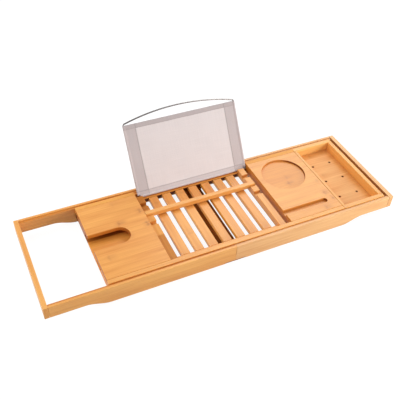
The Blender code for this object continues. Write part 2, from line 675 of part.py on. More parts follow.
def foot_path(reach):
    return [(-reach, 0), (reach, 0)]


def build_stand_cloth():
    """Cloth panel whose hems run round the side wires and the foot rod."""
    cloth_roughness = 0.9
    half_panel = CLOTH_THICKNESS * CLOTH_LAYERS / 2
    span = half_span()
    cloth = new_object("stand_cloth", flat_box((-span, span), (0, CLOTH_TOP), (-half_panel, half_panel)))
    tools = []
    sleeve_range = (SLEEVE_STEP, CLOTH_TOP - SLEEVE_STEP)
    for sign in (-1, 1):
        sleeve = tube_shape(side_path(sign, sleeve_range[0], sleeve_range[1]), SLEEVE_OUTER, SLEEVE_SIDES)
        tools.append(new_object("sleeve", sleeve))
    hem = tube_shape(foot_path(span - SLEEVE_STEP), SLEEVE_OUTER, SLEEVE_SIDES)
    tools.append(new_object("hem", hem))
    for tool in tools:
        add_boolean(cloth, tool, "UNION")
    bores = []
    long_end = CLOTH_TOP + CUT_MARGIN
    for sign in (-1, 1):
        bore = tube_shape(side_path(sign, -CUT_MARGIN, long_end), SLEEVE_INNER, SLEEVE_SIDES)
        bores.append(new_object("bore", bore))
        reach = (span - CORNER_CUT, span + CORNER_CUT)
        corner_x = (min(sign * reach[0], sign * reach[1]), max(sign * reach[0], sign * reach[1]))
        corner = flat_box(corner_x, (-CORNER_CUT, CORNER_CUT), (-CORNER_CUT, CORNER_CUT))
        bores.append(new_object("corner", corner))
    bores.append(new_object("bore", tube_shape(foot_path(span + CUT_MARGIN), SLEEVE_INNER, SLEEVE_SIDES)))
    for tool in bores:
        add_boolean(cloth, tool, "DIFFERENCE")
    bake(cloth, tools + bores)
    stand_piece(cloth, make_material("stand_cloth_fabric", CLOTH_GREY, 0, cloth_roughness))


def main():
    clear_objects()
    build_arms()
    build_brace()
    build_side_rails()
    build_glass_holder()
    build_rack()
    build_cup_panel()
    build_soap_tray()
    build_stop_bar()
    build_stand_wires()
    build_stand_cloth()


main()
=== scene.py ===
"""Bathroom tray of bamboo: finishes of its pieces, its book stand in wire and cloth, and its studio."""
import math

import bmesh
import bpy
from mathutils import Matrix, Vector, noise


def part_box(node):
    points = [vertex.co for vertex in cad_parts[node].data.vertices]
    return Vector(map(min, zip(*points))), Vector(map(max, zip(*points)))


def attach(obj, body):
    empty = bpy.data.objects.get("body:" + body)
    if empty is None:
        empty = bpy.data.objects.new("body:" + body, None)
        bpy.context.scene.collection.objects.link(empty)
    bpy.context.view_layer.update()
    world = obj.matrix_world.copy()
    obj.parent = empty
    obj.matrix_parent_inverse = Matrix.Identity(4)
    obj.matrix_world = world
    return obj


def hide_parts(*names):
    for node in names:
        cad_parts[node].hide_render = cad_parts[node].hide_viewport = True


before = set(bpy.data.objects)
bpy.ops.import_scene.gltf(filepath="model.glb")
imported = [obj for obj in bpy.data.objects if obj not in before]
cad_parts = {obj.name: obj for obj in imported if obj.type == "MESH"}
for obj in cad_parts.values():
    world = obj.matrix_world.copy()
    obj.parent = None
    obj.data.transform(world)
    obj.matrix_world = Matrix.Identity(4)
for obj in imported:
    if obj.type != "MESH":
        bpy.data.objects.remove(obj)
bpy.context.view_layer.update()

bl_info = {
    "name": "Bathroom Tray",
    "version": (1, 0, 0),
    "blender": (4, 5, 0),
    "location": "View3D > Sidebar > Bathroom Tray",
    "description": "Builds the bamboo finishes, the book stand and the studio of a bathroom tray",
    "category": "Object",
}

MM = 0.001
ACROSS_TRAY = (1.0, 0.0, 0.0)
RIGHT_TO_LEFT = (-1.0, 0.0, 0.0)
FRONT_TO_BACK = (0.0, 1.0, 0.0)
BACK_TO_FRONT = (0.0, -1.0, 0.0)
DOWN = (0.0, 0.0, -1.0)
UP = Vector((0.0, 0.0, 1.0))

# Pieces of bamboo that share a finish
LEFT_RAILS = ("arm_rail_front_left", "arm_rail_back_left")
RIGHT_RAILS = ("arm_rail_front_right", "arm_rail_back_right")
SIDE_RAILS = ("side_rail_front", "runner_front", "runner_back", "soap_rest_strip")
BRACE = ("centre_brace", "brace_block_front", "brace_block_back")
GLASS_HOLDER = ("glass_block_front", "glass_block_back", "glass_shelf")
NOTCHED_RAILS = ("notched_rail_right", "rack_cross_rail", "cup_cross_rail")
SLATS = tuple(f"rack_slat_{number}" for number in range(1, 8))
SOAP_SHORT_WALLS = ("soap_wall_left", "soap_wall_right")
# Slats with painted shade behind the stop bar, and slats without
SHADED_SLATS = SLATS[:5]
LIT_SLATS = SLATS[5:]

# Places on the bamboo pieces, as on the part
TRAY_BACK = 115 * MM
GLASS_SLOT_WIDTH = 42.4 * MM
CUP_LEFTWARD = 1.5 * MM
CUP_FROM_BACK = 77.5 * MM
CUP_RADIUS = 47.5 * MM
DRAIN_RADIUS = 1.6 * MM
DRAIN_COLUMN_SHARES = (0.246, 0.763)
DRAIN_ROW_SHARES = (0.217, 0.495, 0.773)

# How far before the tray's middle the left notched rail turns darker, how far behind the stop bar its
# painted shade ends, and how far from its walls the soap floor has a painted golden glow
DARK_FRONT_OF_RAIL = 25 * MM
BAR_SHADE_REACH = 8.8 * MM
PAINTED_GLOW_NEAR_SOAP_WALLS = 20 * MM

# Book stand, in its own flat frame: x across, y up the cloth, z out of its front
ACROSS_CLOTH = (1, 0, 0)
UP_CLOTH = (0, 1, 0)
STAND_LEAN = math.radians(58)
STAND_FOOT = Vector(sum((Vector(corner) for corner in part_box("stand_foot_rod")), Vector()) / 2)
WIRE_RADIUS = 1.6 * MM
ROD_OVERHANG = 1.4 * MM
HALF_SPAN = (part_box("stand_foot_rod")[1].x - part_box("stand_foot_rod")[0].x) / 2 - ROD_OVERHANG
SIDE_HEIGHT = 153.3 * MM
ARCH_RISE = 16.3 * MM
BEND_RADIUS = 4.5 * MM
FOOT_CLEARANCE = 1.7 * MM
CLOTH_TOP = 150.4 * MM
SLEEVE_REACH = 4 * MM
SLEEVE_RADIUS = 1.9 * MM
LAYER_SPACE = 0.22 * MM
SIDE_HEM = 24.6 * MM
TOP_HEM = 9.4 * MM
FOOT_HEM = 11 * MM
FOOT_STRETCH = 14 * MM
SEAM_INSET = 1.2 * MM
TOP_SEAM_INSET = 1.0 * MM


# Settings

class BambooSettings(bpy.types.PropertyGroup):
    """Colours and marks of the lacquered bamboo."""
    pale: bpy.props.FloatVectorProperty(
        name="Pale", description="Pale bamboo between the streaks", subtype="COLOR", size=3,
        min=0, max=1, default=(0.930, 0.460, 0.120))
    deep: bpy.props.FloatVectorProperty(
        name="Deep", description="Darker streaks of the bamboo", subtype="COLOR", size=3,
        min=0, max=1, default=(0.720, 0.270, 0.050))
    knuckle: bpy.props.FloatVectorProperty(
        name="Knuckle", description="Marks where a cane had its joint", subtype="COLOR", size=3,
        min=0, max=1, default=(0.440, 0.140, 0.030))
    knuckle_spacing: bpy.props.FloatProperty(
        name="Knuckle spacing", description="Distance between the joints along a strip",
        subtype="DISTANCE", unit="LENGTH", min=0.05, max=1, default=0.235)
    roughness: bpy.props.FloatProperty(
        name="Roughness", description="Roughness of the lacquer", subtype="FACTOR",
        min=0, max=1, default=0.40)


class WireSettings(bpy.types.PropertyGroup):
    """Chromed wire of the book stand."""
    colour: bpy.props.FloatVectorProperty(
        name="Chrome", description="Colour of the chromed wire", subtype="COLOR", size=3,
        min=0, max=1, default=(0.27, 0.25, 0.245))
    roughness: bpy.props.FloatProperty(
        name="Roughness", description="Roughness of the chrome", subtype="FACTOR",
        min=0, max=1, default=0.16)
    sides: bpy.props.IntProperty(
        name="Sides", description="Faces round the wire", min=8, max=64, default=24)


class ClothSettings(bpy.types.PropertyGroup):
    """Cloth of the book stand."""
    colour: bpy.props.FloatVectorProperty(
        name="Cloth", description="Colour of a single layer of the cloth", subtype="COLOR", size=3,
        min=0, max=1, default=(0.848, 0.775, 0.768))
    # Painted shade: where the cloth lies double, less light shines through it
    hem: bpy.props.FloatVectorProperty(
        name="Hem", description="Colour where the cloth lies double", subtype="COLOR", size=3,
        min=0, max=1, default=(0.640, 0.565, 0.562))
    thread: bpy.props.FloatVectorProperty(
        name="Thread", description="Colour of the sewing thread", subtype="COLOR", size=3,
        min=0, max=1, default=(0.380, 0.315, 0.300))
    thickness: bpy.props.FloatProperty(
        name="Thickness", description="Thickness of one layer", subtype="DISTANCE", unit="LENGTH",
        min=0.0001, max=0.001, default=0.0004)
    thread_pitch: bpy.props.FloatProperty(
        name="Thread pitch", description="Distance between the threads of the weave",
        subtype="DISTANCE", unit="LENGTH", min=0.0002, max=0.004, default=0.0009)
    slack: bpy.props.FloatProperty(
        name="Slack", description="How far the middle of the cloth hangs back",
        subtype="DISTANCE", unit="LENGTH", min=0, max=0.006, default=0.0016)
    stitch_pitch: bpy.props.FloatProperty(
        name="Stitch pitch", description="Distance from one stitch to the next",
        subtype="DISTANCE", unit="LENGTH", min=0.001, max=0.01, default=0.003)


class StageSettings(bpy.types.PropertyGroup):
    """Studio round the tray."""
    floor: bpy.props.FloatVectorProperty(
        name="Floor", description="Colour of the floor", subtype="COLOR", size=3,
        min=0, max=1, default=(0.60, 0.60, 0.60))
    sky: bpy.props.FloatProperty(
        name="Sky", description="Strength of the even light from all round", min=0, max=2, default=0.40)
    key_power: bpy.props.FloatProperty(
        name="Key light", description="Power of the lamp high at the back right", unit="POWER",
        min=0, max=500, default=12.3)
    fill_power: bpy.props.FloatProperty(
        name="Fill light", description="Power of the large lamp low at the front right", unit="POWER",
        min=0, max=500, default=12.2)
    side_power: bpy.props.FloatProperty(
        name="Side light", description="Power of the lamp at the left", unit="POWER",
        min=0, max=500, default=9.2)


class TraySettings(bpy.types.PropertyGroup):
    """All settings of the bathroom tray."""
    bamboo: bpy.props.PointerProperty(type=BambooSettings)
    wire: bpy.props.PointerProperty(type=WireSettings)
    cloth: bpy.props.PointerProperty(type=ClothSettings)
    stage: bpy.props.PointerProperty(type=StageSettings)


# Shader nodes

def place(tree, socket, value):
    """Link a socket, or set its number or colour."""
    if isinstance(value, bpy.types.NodeSocket):
        tree.links.new(value, socket)
    elif value is not None:
        socket.default_value = value


def calculate(tree, operation, first, second=None, third=None, clamp=False):
    """Math node."""
    node = tree.nodes.new("ShaderNodeMath")
    node.operation = operation
    node.use_clamp = clamp
    for socket, value in zip(node.inputs, (first, second, third)):
        place(tree, socket, value)
    return node.outputs[0]


def product(tree, first, second):
    return calculate(tree, "MULTIPLY", first, second)


def difference(tree, first, second):
    return calculate(tree, "SUBTRACT", first, second)


def without_sign(tree, value):
    return calculate(tree, "ABSOLUTE", value)


def vector_of(tree, operation, first, second=None):
    """Vector Math node; its number output for a dot product or a length, its vector output otherwise."""
    node = tree.nodes.new("ShaderNodeVectorMath")
    node.operation = operation
    place(tree, node.inputs[0], first)
    place(tree, node.inputs[1], second)
    return node.outputs["Value"] if operation in {"DOT_PRODUCT", "LENGTH"} else node.outputs["Vector"]


def combined(tree, x, y, z):
    """Vector from three numbers."""
    node = tree.nodes.new("ShaderNodeCombineXYZ")
    for socket, value in zip(node.inputs, (x, y, z)):
        place(tree, socket, value)
    return node.outputs[0]


def separated(tree, vector):
    """The three numbers of a vector."""
    node = tree.nodes.new("ShaderNodeSeparateXYZ")
    tree.links.new(vector, node.inputs[0])
    return node.outputs


def cloudy(tree, vector, scale=1.0, detail=2.0, roughness=0.5):
    """Noise from 0 to 1."""
    node = tree.nodes.new("ShaderNodeTexNoise")
    place(tree, node.inputs["Vector"], vector)
    node.inputs["Scale"].default_value = scale
    node.inputs["Detail"].default_value = detail
    node.inputs["Roughness"].default_value = roughness
    return node.outputs["Fac"]


def ramp(tree, value, low, high, low_out=0.0, high_out=1.0):
    """Smooth step between two values."""
    node = tree.nodes.new("ShaderNodeMapRange")
    node.interpolation_type = "SMOOTHSTEP"
    place(tree, node.inputs["Value"], value)
    for name, number in (("From Min", low), ("From Max", high), ("To Min", low_out), ("To Max", high_out)):
        place(tree, node.inputs[name], number)
    return node.outputs["Result"]


def blended(tree, factor, first, second, way="MIX"):
    """Mix of two colours."""
    node = tree.nodes.new("ShaderNodeMix")
    node.data_type = "RGBA"
    node.blend_type = way
    place(tree, node.inputs[0], factor)
    place(tree, node.inputs[6], first)
    place(tree, node.inputs[7], second)
    return node.outputs[2]


def new_group(name, inputs, outputs):
    """Empty shader group with named sockets."""
    tree = bpy.data.node_groups.new(name, "ShaderNodeTree")
    for label, kind, value in inputs:
        socket = tree.interface.new_socket(label, in_out="INPUT", socket_type="NodeSocket" + kind)
        if value is not None:
            socket.default_value = value
    for label, kind in outputs:
        tree.interface.new_socket(label, in_out="OUTPUT", socket_type="NodeSocket" + kind)
    return tree, tree.nodes.new("NodeGroupInput").outputs, tree.nodes.new("NodeGroupOutput").inputs


def strip_numbers(tree, cells, seed):
    """Three random numbers for each strip."""
    strip = combined(tree, calculate(tree, "FLOOR", cells[0]), calculate(tree, "FLOOR", cells[1]), seed)
    dice = tree.nodes.new("ShaderNodeTexWhiteNoise")
    dice.noise_dimensions = "3D"
    tree.links.new(strip, dice.inputs["Vector"])
    return separated(tree, dice.outputs["Color"])


def fibres(tree, along, side, up, lengthwise, crosswise, detail):
    """Noise drawn out along the grain."""
    stretched = combined(tree, product(tree, along, lengthwise), product(tree, side, crosswise),
                         product(tree, up, crosswise))
    return cloudy(tree, stretched, detail=detail, roughness=0.6)


def knuckle_marks(tree, given, along, side, up, dice, streak):
    """A soft wavy line across each strip, and the line together with the dark cloud beside it."""
    spacing = given["Knuckle Spacing"]
    wavy = cloudy(tree, combined(tree, dice[2], side, up), scale=160, detail=1)
    wobble = product(tree, difference(tree, wavy, 0.5), 0.006)
    shifted = calculate(tree, "ADD", along, product(tree, dice[2], 3.1))
    turn = calculate(tree, "FRACT", calculate(
        tree, "DIVIDE", calculate(tree, "ADD", shifted, wobble), spacing))
    away = product(tree, difference(tree, turn, 0.5), spacing)
    line = ramp(tree, without_sign(tree, away), 0.0004, 0.0042, 1, 0)
    cloud = ramp(tree, without_sign(tree, difference(tree, away, 0.004)), 0.001, 0.017, 1, 0)
    patchy = product(tree, cloud, ramp(tree, streak, 0.35, 0.6))
    return line, calculate(tree, "ADD", product(tree, line, 0.22), product(tree, patchy, 0.42), clamp=True)


def knuckle_strength(tree, given, side_cell, dice):
    """How strong the knuckles are: uneven from strip to strip, and fading to both sides of each strip."""
    strength = product(tree, given["Knuckle Strength"], ramp(tree, dice[0], 0.15, 0.7, 0.25, 1))
    oval = calculate(tree, "SINE", product(tree, calculate(tree, "FRACT", side_cell), math.pi))
    return product(tree, strength, oval)


def facing_ways(tree, given):
    """How far a face looks along the grain, to the side and up."""
    normal = given["Normal"]
    return (without_sign(tree, vector_of(tree, "DOT_PRODUCT", normal, given["Grain"])),
            without_sign(tree, vector_of(tree, "DOT_PRODUCT", normal, given["Side"])),
            without_sign(tree, separated(tree, normal)[2]))


def glue_joint(tree, cell, width, face):
    """Line between two strips, only on the faces that the joint runs out on."""
    part = calculate(tree, "FRACT", cell)
    near = product(tree, calculate(tree, "MINIMUM", part, difference(tree, 1, part)), width)
    return product(tree, ramp(tree, near, 0.0001, 0.0011, 1, 0), ramp(tree, face, 0.4, 0.7, 1, 0))


def end_grain(tree, given):
    """Colour of the cut ends: dark dots of cut fibres."""
    cells = tree.nodes.new("ShaderNodeTexVoronoi")
    cells.inputs["Scale"].default_value = 950
    tree.links.new(given["Position"], cells.inputs["Vector"])
    dots = ramp(tree, cells.outputs["Distance"], 0.18, 0.42, 1, 0)
    plain = blended(tree, 0.55, given["Pale"], given["Deep"])
    return blended(tree, product(tree, dots, 0.5), plain, given["Knuckle"])


def bamboo_grain_group():
    """Strips, fibres, knuckles, glue lines and end grain of laminated bamboo."""
    name = "Bamboo Grain"
    if name in bpy.data.node_groups:
        return bpy.data.node_groups[name]
    tree, given, made = new_group(
        name,
        [("Position", "Vector", None), ("Normal", "Vector", None), ("Grain", "Vector", (1, 0, 0)),
         ("Side", "Vector", (0, 1, 0)), ("Strip Start", "Vector", (0, 0, 0)),
         ("Strip Size", "Vector", (1, 1, 1)), ("Seed", "Float", 0), ("Tone", "Float", 0),
         ("Knuckle Spacing", "Float", 0.24), ("Knuckle Strength", "Float", 0.5),
         ("Pale", "Color", (1, 1, 1, 1)), ("Deep", "Color", (0, 0, 0, 1)),
         ("Knuckle", "Color", (0, 0, 0, 1))],
        [("Color", "Color"), ("Lacquer", "Float"), ("Height", "Float")])
    along = vector_of(tree, "DOT_PRODUCT", given["Position"], given["Grain"])
    side = vector_of(tree, "DOT_PRODUCT", given["Position"], given["Side"])
    up = separated(tree, given["Position"])[2]
    start = separated(tree, given["Strip Start"])
    size = separated(tree, given["Strip Size"])
    side_cell = calculate(tree, "DIVIDE", difference(tree, side, start[0]), size[0])
    up_cell = calculate(tree, "DIVIDE", difference(tree, up, start[1]), size[1])
    dice = strip_numbers(tree, (side_cell, up_cell), given["Seed"])
    moved = calculate(tree, "ADD", along, product(tree, dice[0], 7.3))
    fine = fibres(tree, moved, side, up, 14, 1500, 2)
    streak = fibres(tree, moved, side, up, 9, 330, 3)
    broad = fibres(tree, moved, side, up, 7, 55, 2)

    tone = calculate(tree, "MULTIPLY_ADD", difference(tree, dice[1], 0.5), 0.20, given["Tone"])
    for waves, weight in ((fine, 0.40), (streak, 1.15), (broad, 1.35)):
        tone = calculate(tree, "MULTIPLY_ADD", difference(tree, waves, 0.5), weight, tone)
    tone = calculate(tree, "ADD", tone, 0.62, clamp=True)
    colour = blended(tree, tone, given["Deep"], given["Pale"])
    line, knuckle = knuckle_marks(tree, given, along, side, up, dice, streak)
    strength = knuckle_strength(tree, given, side_cell, dice)
    knuckle = calculate(tree, "MULTIPLY", knuckle, strength, clamp=True)
    colour = blended(tree, knuckle, colour, given["Knuckle"])
    facing = facing_ways(tree, given)
    glue = calculate(tree, "MAXIMUM", glue_joint(tree, side_cell, size[0], facing[1]),
                     glue_joint(tree, up_cell, size[1], facing[2]))
    colour = blended(tree, product(tree, glue, 0.28), colour, given["Deep"])
    end_face = ramp(tree, facing[0], 0.65, 0.9)
    colour = blended(tree, end_face, colour, end_grain(tree, given))

    broad_part = product(tree, difference(tree, broad, 0.5), 0.12)
    lacquer = calculate(tree, "MULTIPLY_ADD", difference(tree, fine, 0.5), 0.16, broad_part)
    lacquer = calculate(tree, "ADD", lacquer, product(tree, end_face, 0.12))
    height = calculate(tree, "MULTIPLY_ADD", fine, 0.5, product(tree, streak, 0.5))
    height = difference(tree, height, product(tree, glue, 0.25))
    height = calculate(tree, "ADD", height, product(tree, line, 0.12))
    tree.links.new(colour, made["Color"])
    tree.links.new(lacquer, made["Lacquer"])
    tree.links.new(height, made["Height"])
    return tree


def edge_wear_group():
    """Mask along the edges of a box-shaped piece, broken up by noise."""
    name = "Edge Wear"
    if name in bpy.data.node_groups:
        return bpy.data.node_groups[name]
    tree, given, made = new_group(
        name,
        [("Position", "Vector", None), ("Middle", "Vector", (0, 0, 0)), ("Half Size", "Vector", (1, 1, 1)),
         ("Width", "Float", 0.001)],
        [("Edge", "Float")])
    from_middle = vector_of(tree, "SUBTRACT", given["Position"], given["Middle"])
    inside = vector_of(tree, "SUBTRACT", vector_of(tree, "ABSOLUTE", from_middle), given["Half Size"])
    x, y, z = separated(tree, inside)
    nearer = calculate(tree, "MINIMUM", calculate(tree, "MAXIMUM", x, y), z)
    second = calculate(tree, "MAXIMUM", calculate(tree, "MINIMUM", x, y), nearer)
    near = ramp(tree, second, product(tree, given["Width"], -1.0), 0.0)
    broken = ramp(tree, cloudy(tree, given["Position"], scale=90, detail=3), 0.38, 0.62, 0.35, 1)
    tree.links.new(product(tree, near, broken), made["Edge"])
    return tree


def uneven_thread(tree, x, y, row):
    """Noise that runs along the threads."""
    return cloudy(tree, combined(tree, x, y, row), detail=1)


def weave_group():
    """Plain weave: threads over and under each other, with uneven thread."""
    name = "Plain Weave"
    if name in bpy.data.node_groups:
        return bpy.data.node_groups[name]
    tree, given, made = new_group(
        name,
        [("Position", "Vector", None), ("Pitch", "Float", 0.001)],
        [("Shade", "Float"), ("Height", "Float")])
    x, y, _ = separated(tree, given["Position"])
    wave_x = calculate(tree, "SINE", product(tree, calculate(tree, "DIVIDE", x, given["Pitch"]), math.pi))
    wave_y = calculate(tree, "SINE", product(tree, calculate(tree, "DIVIDE", y, given["Pitch"]), math.pi))
    top = ramp(tree, product(tree, wave_x, wave_y), -0.3, 0.3)
    warp = product(tree, without_sign(tree, wave_x), top)
    weft = product(tree, without_sign(tree, wave_y), difference(tree, 1, top))
    height = calculate(tree, "ADD", warp, weft)
    uneven_warp = uneven_thread(tree, product(tree, x, 700), product(tree, y, 18), 0)
    uneven_weft = uneven_thread(tree, product(tree, x, 18), product(tree, y, 700), 3)
    soft = cloudy(tree, given["Position"], scale=22, detail=2)
    shade = calculate(tree, "ADD", product(tree, uneven_warp, 0.35), product(tree, uneven_weft, 0.35))
    shade = calculate(tree, "ADD", shade, product(tree, soft, 0.3))
    # The dips between the threads darker: painted shade
    shade = calculate(tree, "MULTIPLY_ADD", difference(tree, height, 0.6), 0.22, shade)
    tree.links.new(shade, made["Shade"])
    tree.links.new(height, made["Height"])
    return tree


def new_material(name):
    """Material with only its Principled shader and output."""
    material = bpy.data.materials.new(name)
    material.use_nodes = True
    tree = material.node_tree
    return material, tree, tree.nodes["Principled BSDF"]


def add_group(tree, group, **values):
    """Place a shader group with its own values."""
    node = tree.nodes.new("ShaderNodeGroup")
    node.node_tree = group
    for label, value in values.items():
        place(tree, node.inputs[label.replace("_", " ")], value)
    return node


def add_bump(tree, shader, height, strength):
    """Fine relief on a finish."""
    bump = tree.nodes.new("ShaderNodeBump")
    bump.inputs["Strength"].default_value = strength
    bump.inputs["Distance"].default_value = 0.0002
    tree.links.new(height, bump.inputs["Height"])
    tree.links.new(bump.outputs["Normal"], shader.inputs["Normal"])


def rgba(colour, factor=1.0):
    """Colour with its alpha, made paler or darker by a factor."""
    return tuple(min(1.0, part * factor) for part in colour) + (1.0,)


def tinted_where(tree, mask, colour, tint):
    """The colour, multiplied by a tint where a mask is 1."""
    return blended(tree, mask, colour, blended(tree, 1.0, colour, tuple(tint) + (1.0,), "MULTIPLY"))


# Marks on the bamboo, mostly painted shade or light: each masks by the piece's coordinates, its name and
# its grain's way

def past(axis, start, end):
    """Mark that starts at one place along an axis and is full at another."""
    def mark(tree, spot, node, grain):
        return ramp(tree, vector_of(tree, "DOT_PRODUCT", spot.outputs["Object"], axis), start, end)
    return mark


def on_face(node, axis):
    """Mark on the face of a piece that looks along an axis."""
    face = max(corner.dot(Vector(axis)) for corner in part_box(node))
    return past(axis, face - 0.5 * MM, face - 0.2 * MM)


def on_ledges(tree, spot, node, grain):
    """1 on the faces that look up from under the top of a piece."""
    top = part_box(node)[1].z
    below = ramp(tree, separated(tree, spot.outputs["Object"])[2], top - 2.0 * MM, top - 1.4 * MM, 1, 0)
    return product(tree, below, ramp(tree, separated(tree, spot.outputs["Normal"])[2], 0.6, 0.9))


def on_walls(tree, spot, node, grain):
    """1 on upright faces."""
    level = without_sign(tree, separated(tree, spot.outputs["Normal"])[2])
    return ramp(tree, level, 0.3, 0.6, 1, 0)


def on_ends(tree, spot, node, grain):
    """1 on the faces that the grain runs out on."""
    turned = without_sign(tree, vector_of(tree, "DOT_PRODUCT", spot.outputs["Normal"], grain))
    return ramp(tree, turned, 0.5, 0.85)


def painted_shade_at_recess_end(tree, spot, node, grain):
    """1 on the walls that close the phone slot and the cup recess at the right, where shade is painted."""
    low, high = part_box(node)
    middle = (low.x + high.x) / 2
    right = ramp(tree, separated(tree, spot.outputs["Object"])[0], middle + 10 * MM, middle + 20 * MM)
    turned = without_sign(tree, vector_of(tree, "DOT_PRODUCT", spot.outputs["Normal"], grain))
    return product(tree, right, ramp(tree, turned, 0.3, 0.7))


def painted_shade_on_cup_rim(tree, spot, node, grain):
    """1 along the rim of the cup recess, where a line of shade is painted."""
    low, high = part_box(node)
    x, y, _ = separated(tree, spot.outputs["Object"])
    along = difference(tree, x, (low.x + high.x) / 2 - CUP_LEFTWARD)
    across = difference(tree, y, TRAY_BACK - CUP_FROM_BACK)
    away = difference(tree, vector_of(tree, "LENGTH", combined(tree, along, across, 0)), CUP_RADIUS)
    return ramp(tree, without_sign(tree, away), 0.3 * MM, 1.5 * MM, 1, 0)


def painted_glow_near_soap_walls(tree, spot, node, grain):
    """1 along the back and right walls, where a golden glow of the light they throw is painted on the soap
    floor.
    """
    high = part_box(node)[1]
    x, y, _ = separated(tree, spot.outputs["Object"])
    reach = PAINTED_GLOW_NEAR_SOAP_WALLS
    right = ramp(tree, x, high.x - 0.85 * reach, high.x - 0.3 * reach)
    back = ramp(tree, y, high.y - reach, high.y - 0.4 * reach)
    return calculate(tree, "MAXIMUM", right, back)


def from_nearest(tree, along, low, high, shares):
    """Distance along an axis from the nearest of some places, given as shares of a piece's size."""
    nearest = None
    for share in shares:
        away = without_sign(tree, difference(tree, along, low + (high - low) * share))
        nearest = away if nearest is None else calculate(tree, "MINIMUM", nearest, away)
    return nearest


def painted_shade_in_drains(tree, spot, node, grain):
    """1 in and close round the drain holes, where shade is painted."""
    low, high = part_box(node)
    x, y, _ = separated(tree, spot.outputs["Object"])
    across = from_nearest(tree, x, low.x, high.x, DRAIN_COLUMN_SHARES)
    back = from_nearest(tree, y, low.y, high.y, DRAIN_ROW_SHARES)
    distance = vector_of(tree, "LENGTH", combined(tree, across, back, 0))
    return ramp(tree, distance, DRAIN_RADIUS + 0.7 * MM, DRAIN_RADIUS + 1.6 * MM, 1, 0)


# Bamboo finishes

def strips_across(low, high, wanted):
    """Start and width of the whole strips that fill a piece, a hair wider than it."""
    size = high - low
    count = max(1, round(size / wanted))
    margin = 0.004 * size
    return low - margin / 2, (size + margin) / count


def name_seed(node):
    """Number from 0 to 96 that gives each piece its own pattern."""
    return sum(ord(letter) * (index + 1) for index, letter in enumerate(node)) % 97


def piece_grain(tree, spot, node, grain, strip, **values):
    """The bamboo grain, with strips of about a width and height that fill the piece."""
    low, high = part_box(node)
    direction = Vector(grain)
    side = direction.cross(UP)
    side_range = sorted((low.dot(side), high.dot(side)))
    side_start, side_size = strips_across(side_range[0], side_range[1], strip[0])
    up_start, up_size = strips_across(low.z, high.z, strip[1])
    return add_group(
        tree, bamboo_grain_group(), Position=spot.outputs["Object"], Normal=spot.outputs["Normal"],
        Grain=grain, Side=tuple(side), Strip_Start=(side_start, up_start, 0),
        Strip_Size=(side_size, up_size, 1), Seed=float(name_seed(node)), **values)


def piece_wear(tree, spot, node):
    """The edge wear of a piece."""
    low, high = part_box(node)
    wear = add_group(
        tree, edge_wear_group(), Position=spot.outputs["Object"], Middle=tuple((low + high) / 2),
        Half_Size=tuple((high - low) / 2), Width=0.0016)
    return wear.outputs["Edge"]


def bamboo_material(context, node, grain, strip, tone=0.0, knuckles=0.5, tint=(1, 1, 1), gloss=1.0,
                    marks=(), dulled=None):
    """Lacquered bamboo whose strips fit the piece, tinted at its marks, mostly with painted shade or light,
    and duller at one of them.
    """
    look = context.scene.bath_tray.bamboo
    material, tree, shader = new_material(f"Bamboo {node.replace('_', ' ')}")
    spot = tree.nodes.new("ShaderNodeTexCoord")
    pale = tuple(part * share for part, share in zip(look.pale, tint))
    deep = tuple(part * share for part, share in zip(look.deep, tint))
    wood = piece_grain(
        tree, spot, node, grain, strip, Tone=tone, Knuckle_Spacing=look.knuckle_spacing,
        Knuckle_Strength=knuckles, Pale=rgba(pale), Deep=rgba(deep), Knuckle=rgba(look.knuckle))
    edge = piece_wear(tree, spot, node)
    colour = blended(tree, product(tree, edge, 0.35), wood.outputs["Color"], rgba(pale, 1.12))
    # Each mark's tint, mostly painted shade or painted light
    for mark, tone_and_painted_light in marks:
        colour = tinted_where(tree, mark(tree, spot, node, grain), colour, tone_and_painted_light)
    tree.links.new(colour, shader.inputs["Base Color"])
    dull = calculate(tree, "ADD", wood.outputs["Lacquer"], look.roughness)
    dull = calculate(tree, "ADD", dull, product(tree, edge, 0.1), clamp=True)
    if dulled:
        rougher = product(tree, dulled(tree, spot, node, grain), 0.5)
        dull = calculate(tree, "ADD", dull, rougher, clamp=True)
    tree.links.new(dull, shader.inputs["Roughness"])
    shader.inputs["Coat Weight"].default_value = 0.12 * gloss
    shader.inputs["Coat Roughness"].default_value = 0.2
    shader.inputs["Specular IOR Level"].default_value = 0.4 * gloss
    add_bump(tree, shader, wood.outputs["Height"], 0.25)
    return material


def finish_node(node, material):
    """Give a carried-over piece its material."""
    for material_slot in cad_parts[node].material_slots:
        material_slot.material = material


def finish_bamboo(context, nodes, grain, strip, **values):
    """Give pieces of bamboo their finish, with strips of about a width and height along a grain."""
    for node in nodes:
        finish_node(node, bamboo_material(context, node, grain, strip, **values))


# Modelling by hand

def clear_selection():
    """Leave edit mode and select nothing."""
    if bpy.context.mode != "OBJECT":
        bpy.ops.object.mode_set(mode="OBJECT")
    bpy.ops.object.select_all(action="DESELECT")


def name_piece(name):
    """The piece just added, under its own name and with its place in its mesh."""
    piece = bpy.context.object
    piece.name = name
    piece.data.name = name
    bpy.ops.object.transform_apply(location=True, rotation=True, scale=True)
    return piece


def pick_points(piece, wanted):
    """Select the points that pass a test of their place."""
    bpy.ops.mesh.select_mode(type="VERT")
    bpy.ops.mesh.select_all(action="DESELECT")
    shape = bmesh.from_edit_mesh(piece.data)
    for point in shape.verts:
        point.select = wanted(point.co)
    shape.select_flush(True)
    bmesh.update_edit_mesh(piece.data)


def extrude_by(step):
    """Extrude the selection by one step."""
    bpy.ops.mesh.extrude_region_move(TRANSFORM_OT_translate={"value": tuple(step)})


def extrude_along(points):
    """Extrude the selection from the first point of a path through the rest."""
    for before, after in zip(points, points[1:]):
        extrude_by(Vector(after) - Vector(before))


def close_shell():
    """Merge doubles, close the ends and turn all faces outwards."""
    bpy.ops.mesh.select_all(action="SELECT")
    bpy.ops.mesh.remove_doubles(threshold=0.00001)
    bpy.ops.mesh.fill_holes(sides=0)
    bpy.ops.mesh.select_all(action="SELECT")
    bpy.ops.mesh.normals_make_consistent(inside=False)
    bpy.ops.object.mode_set(mode="OBJECT")


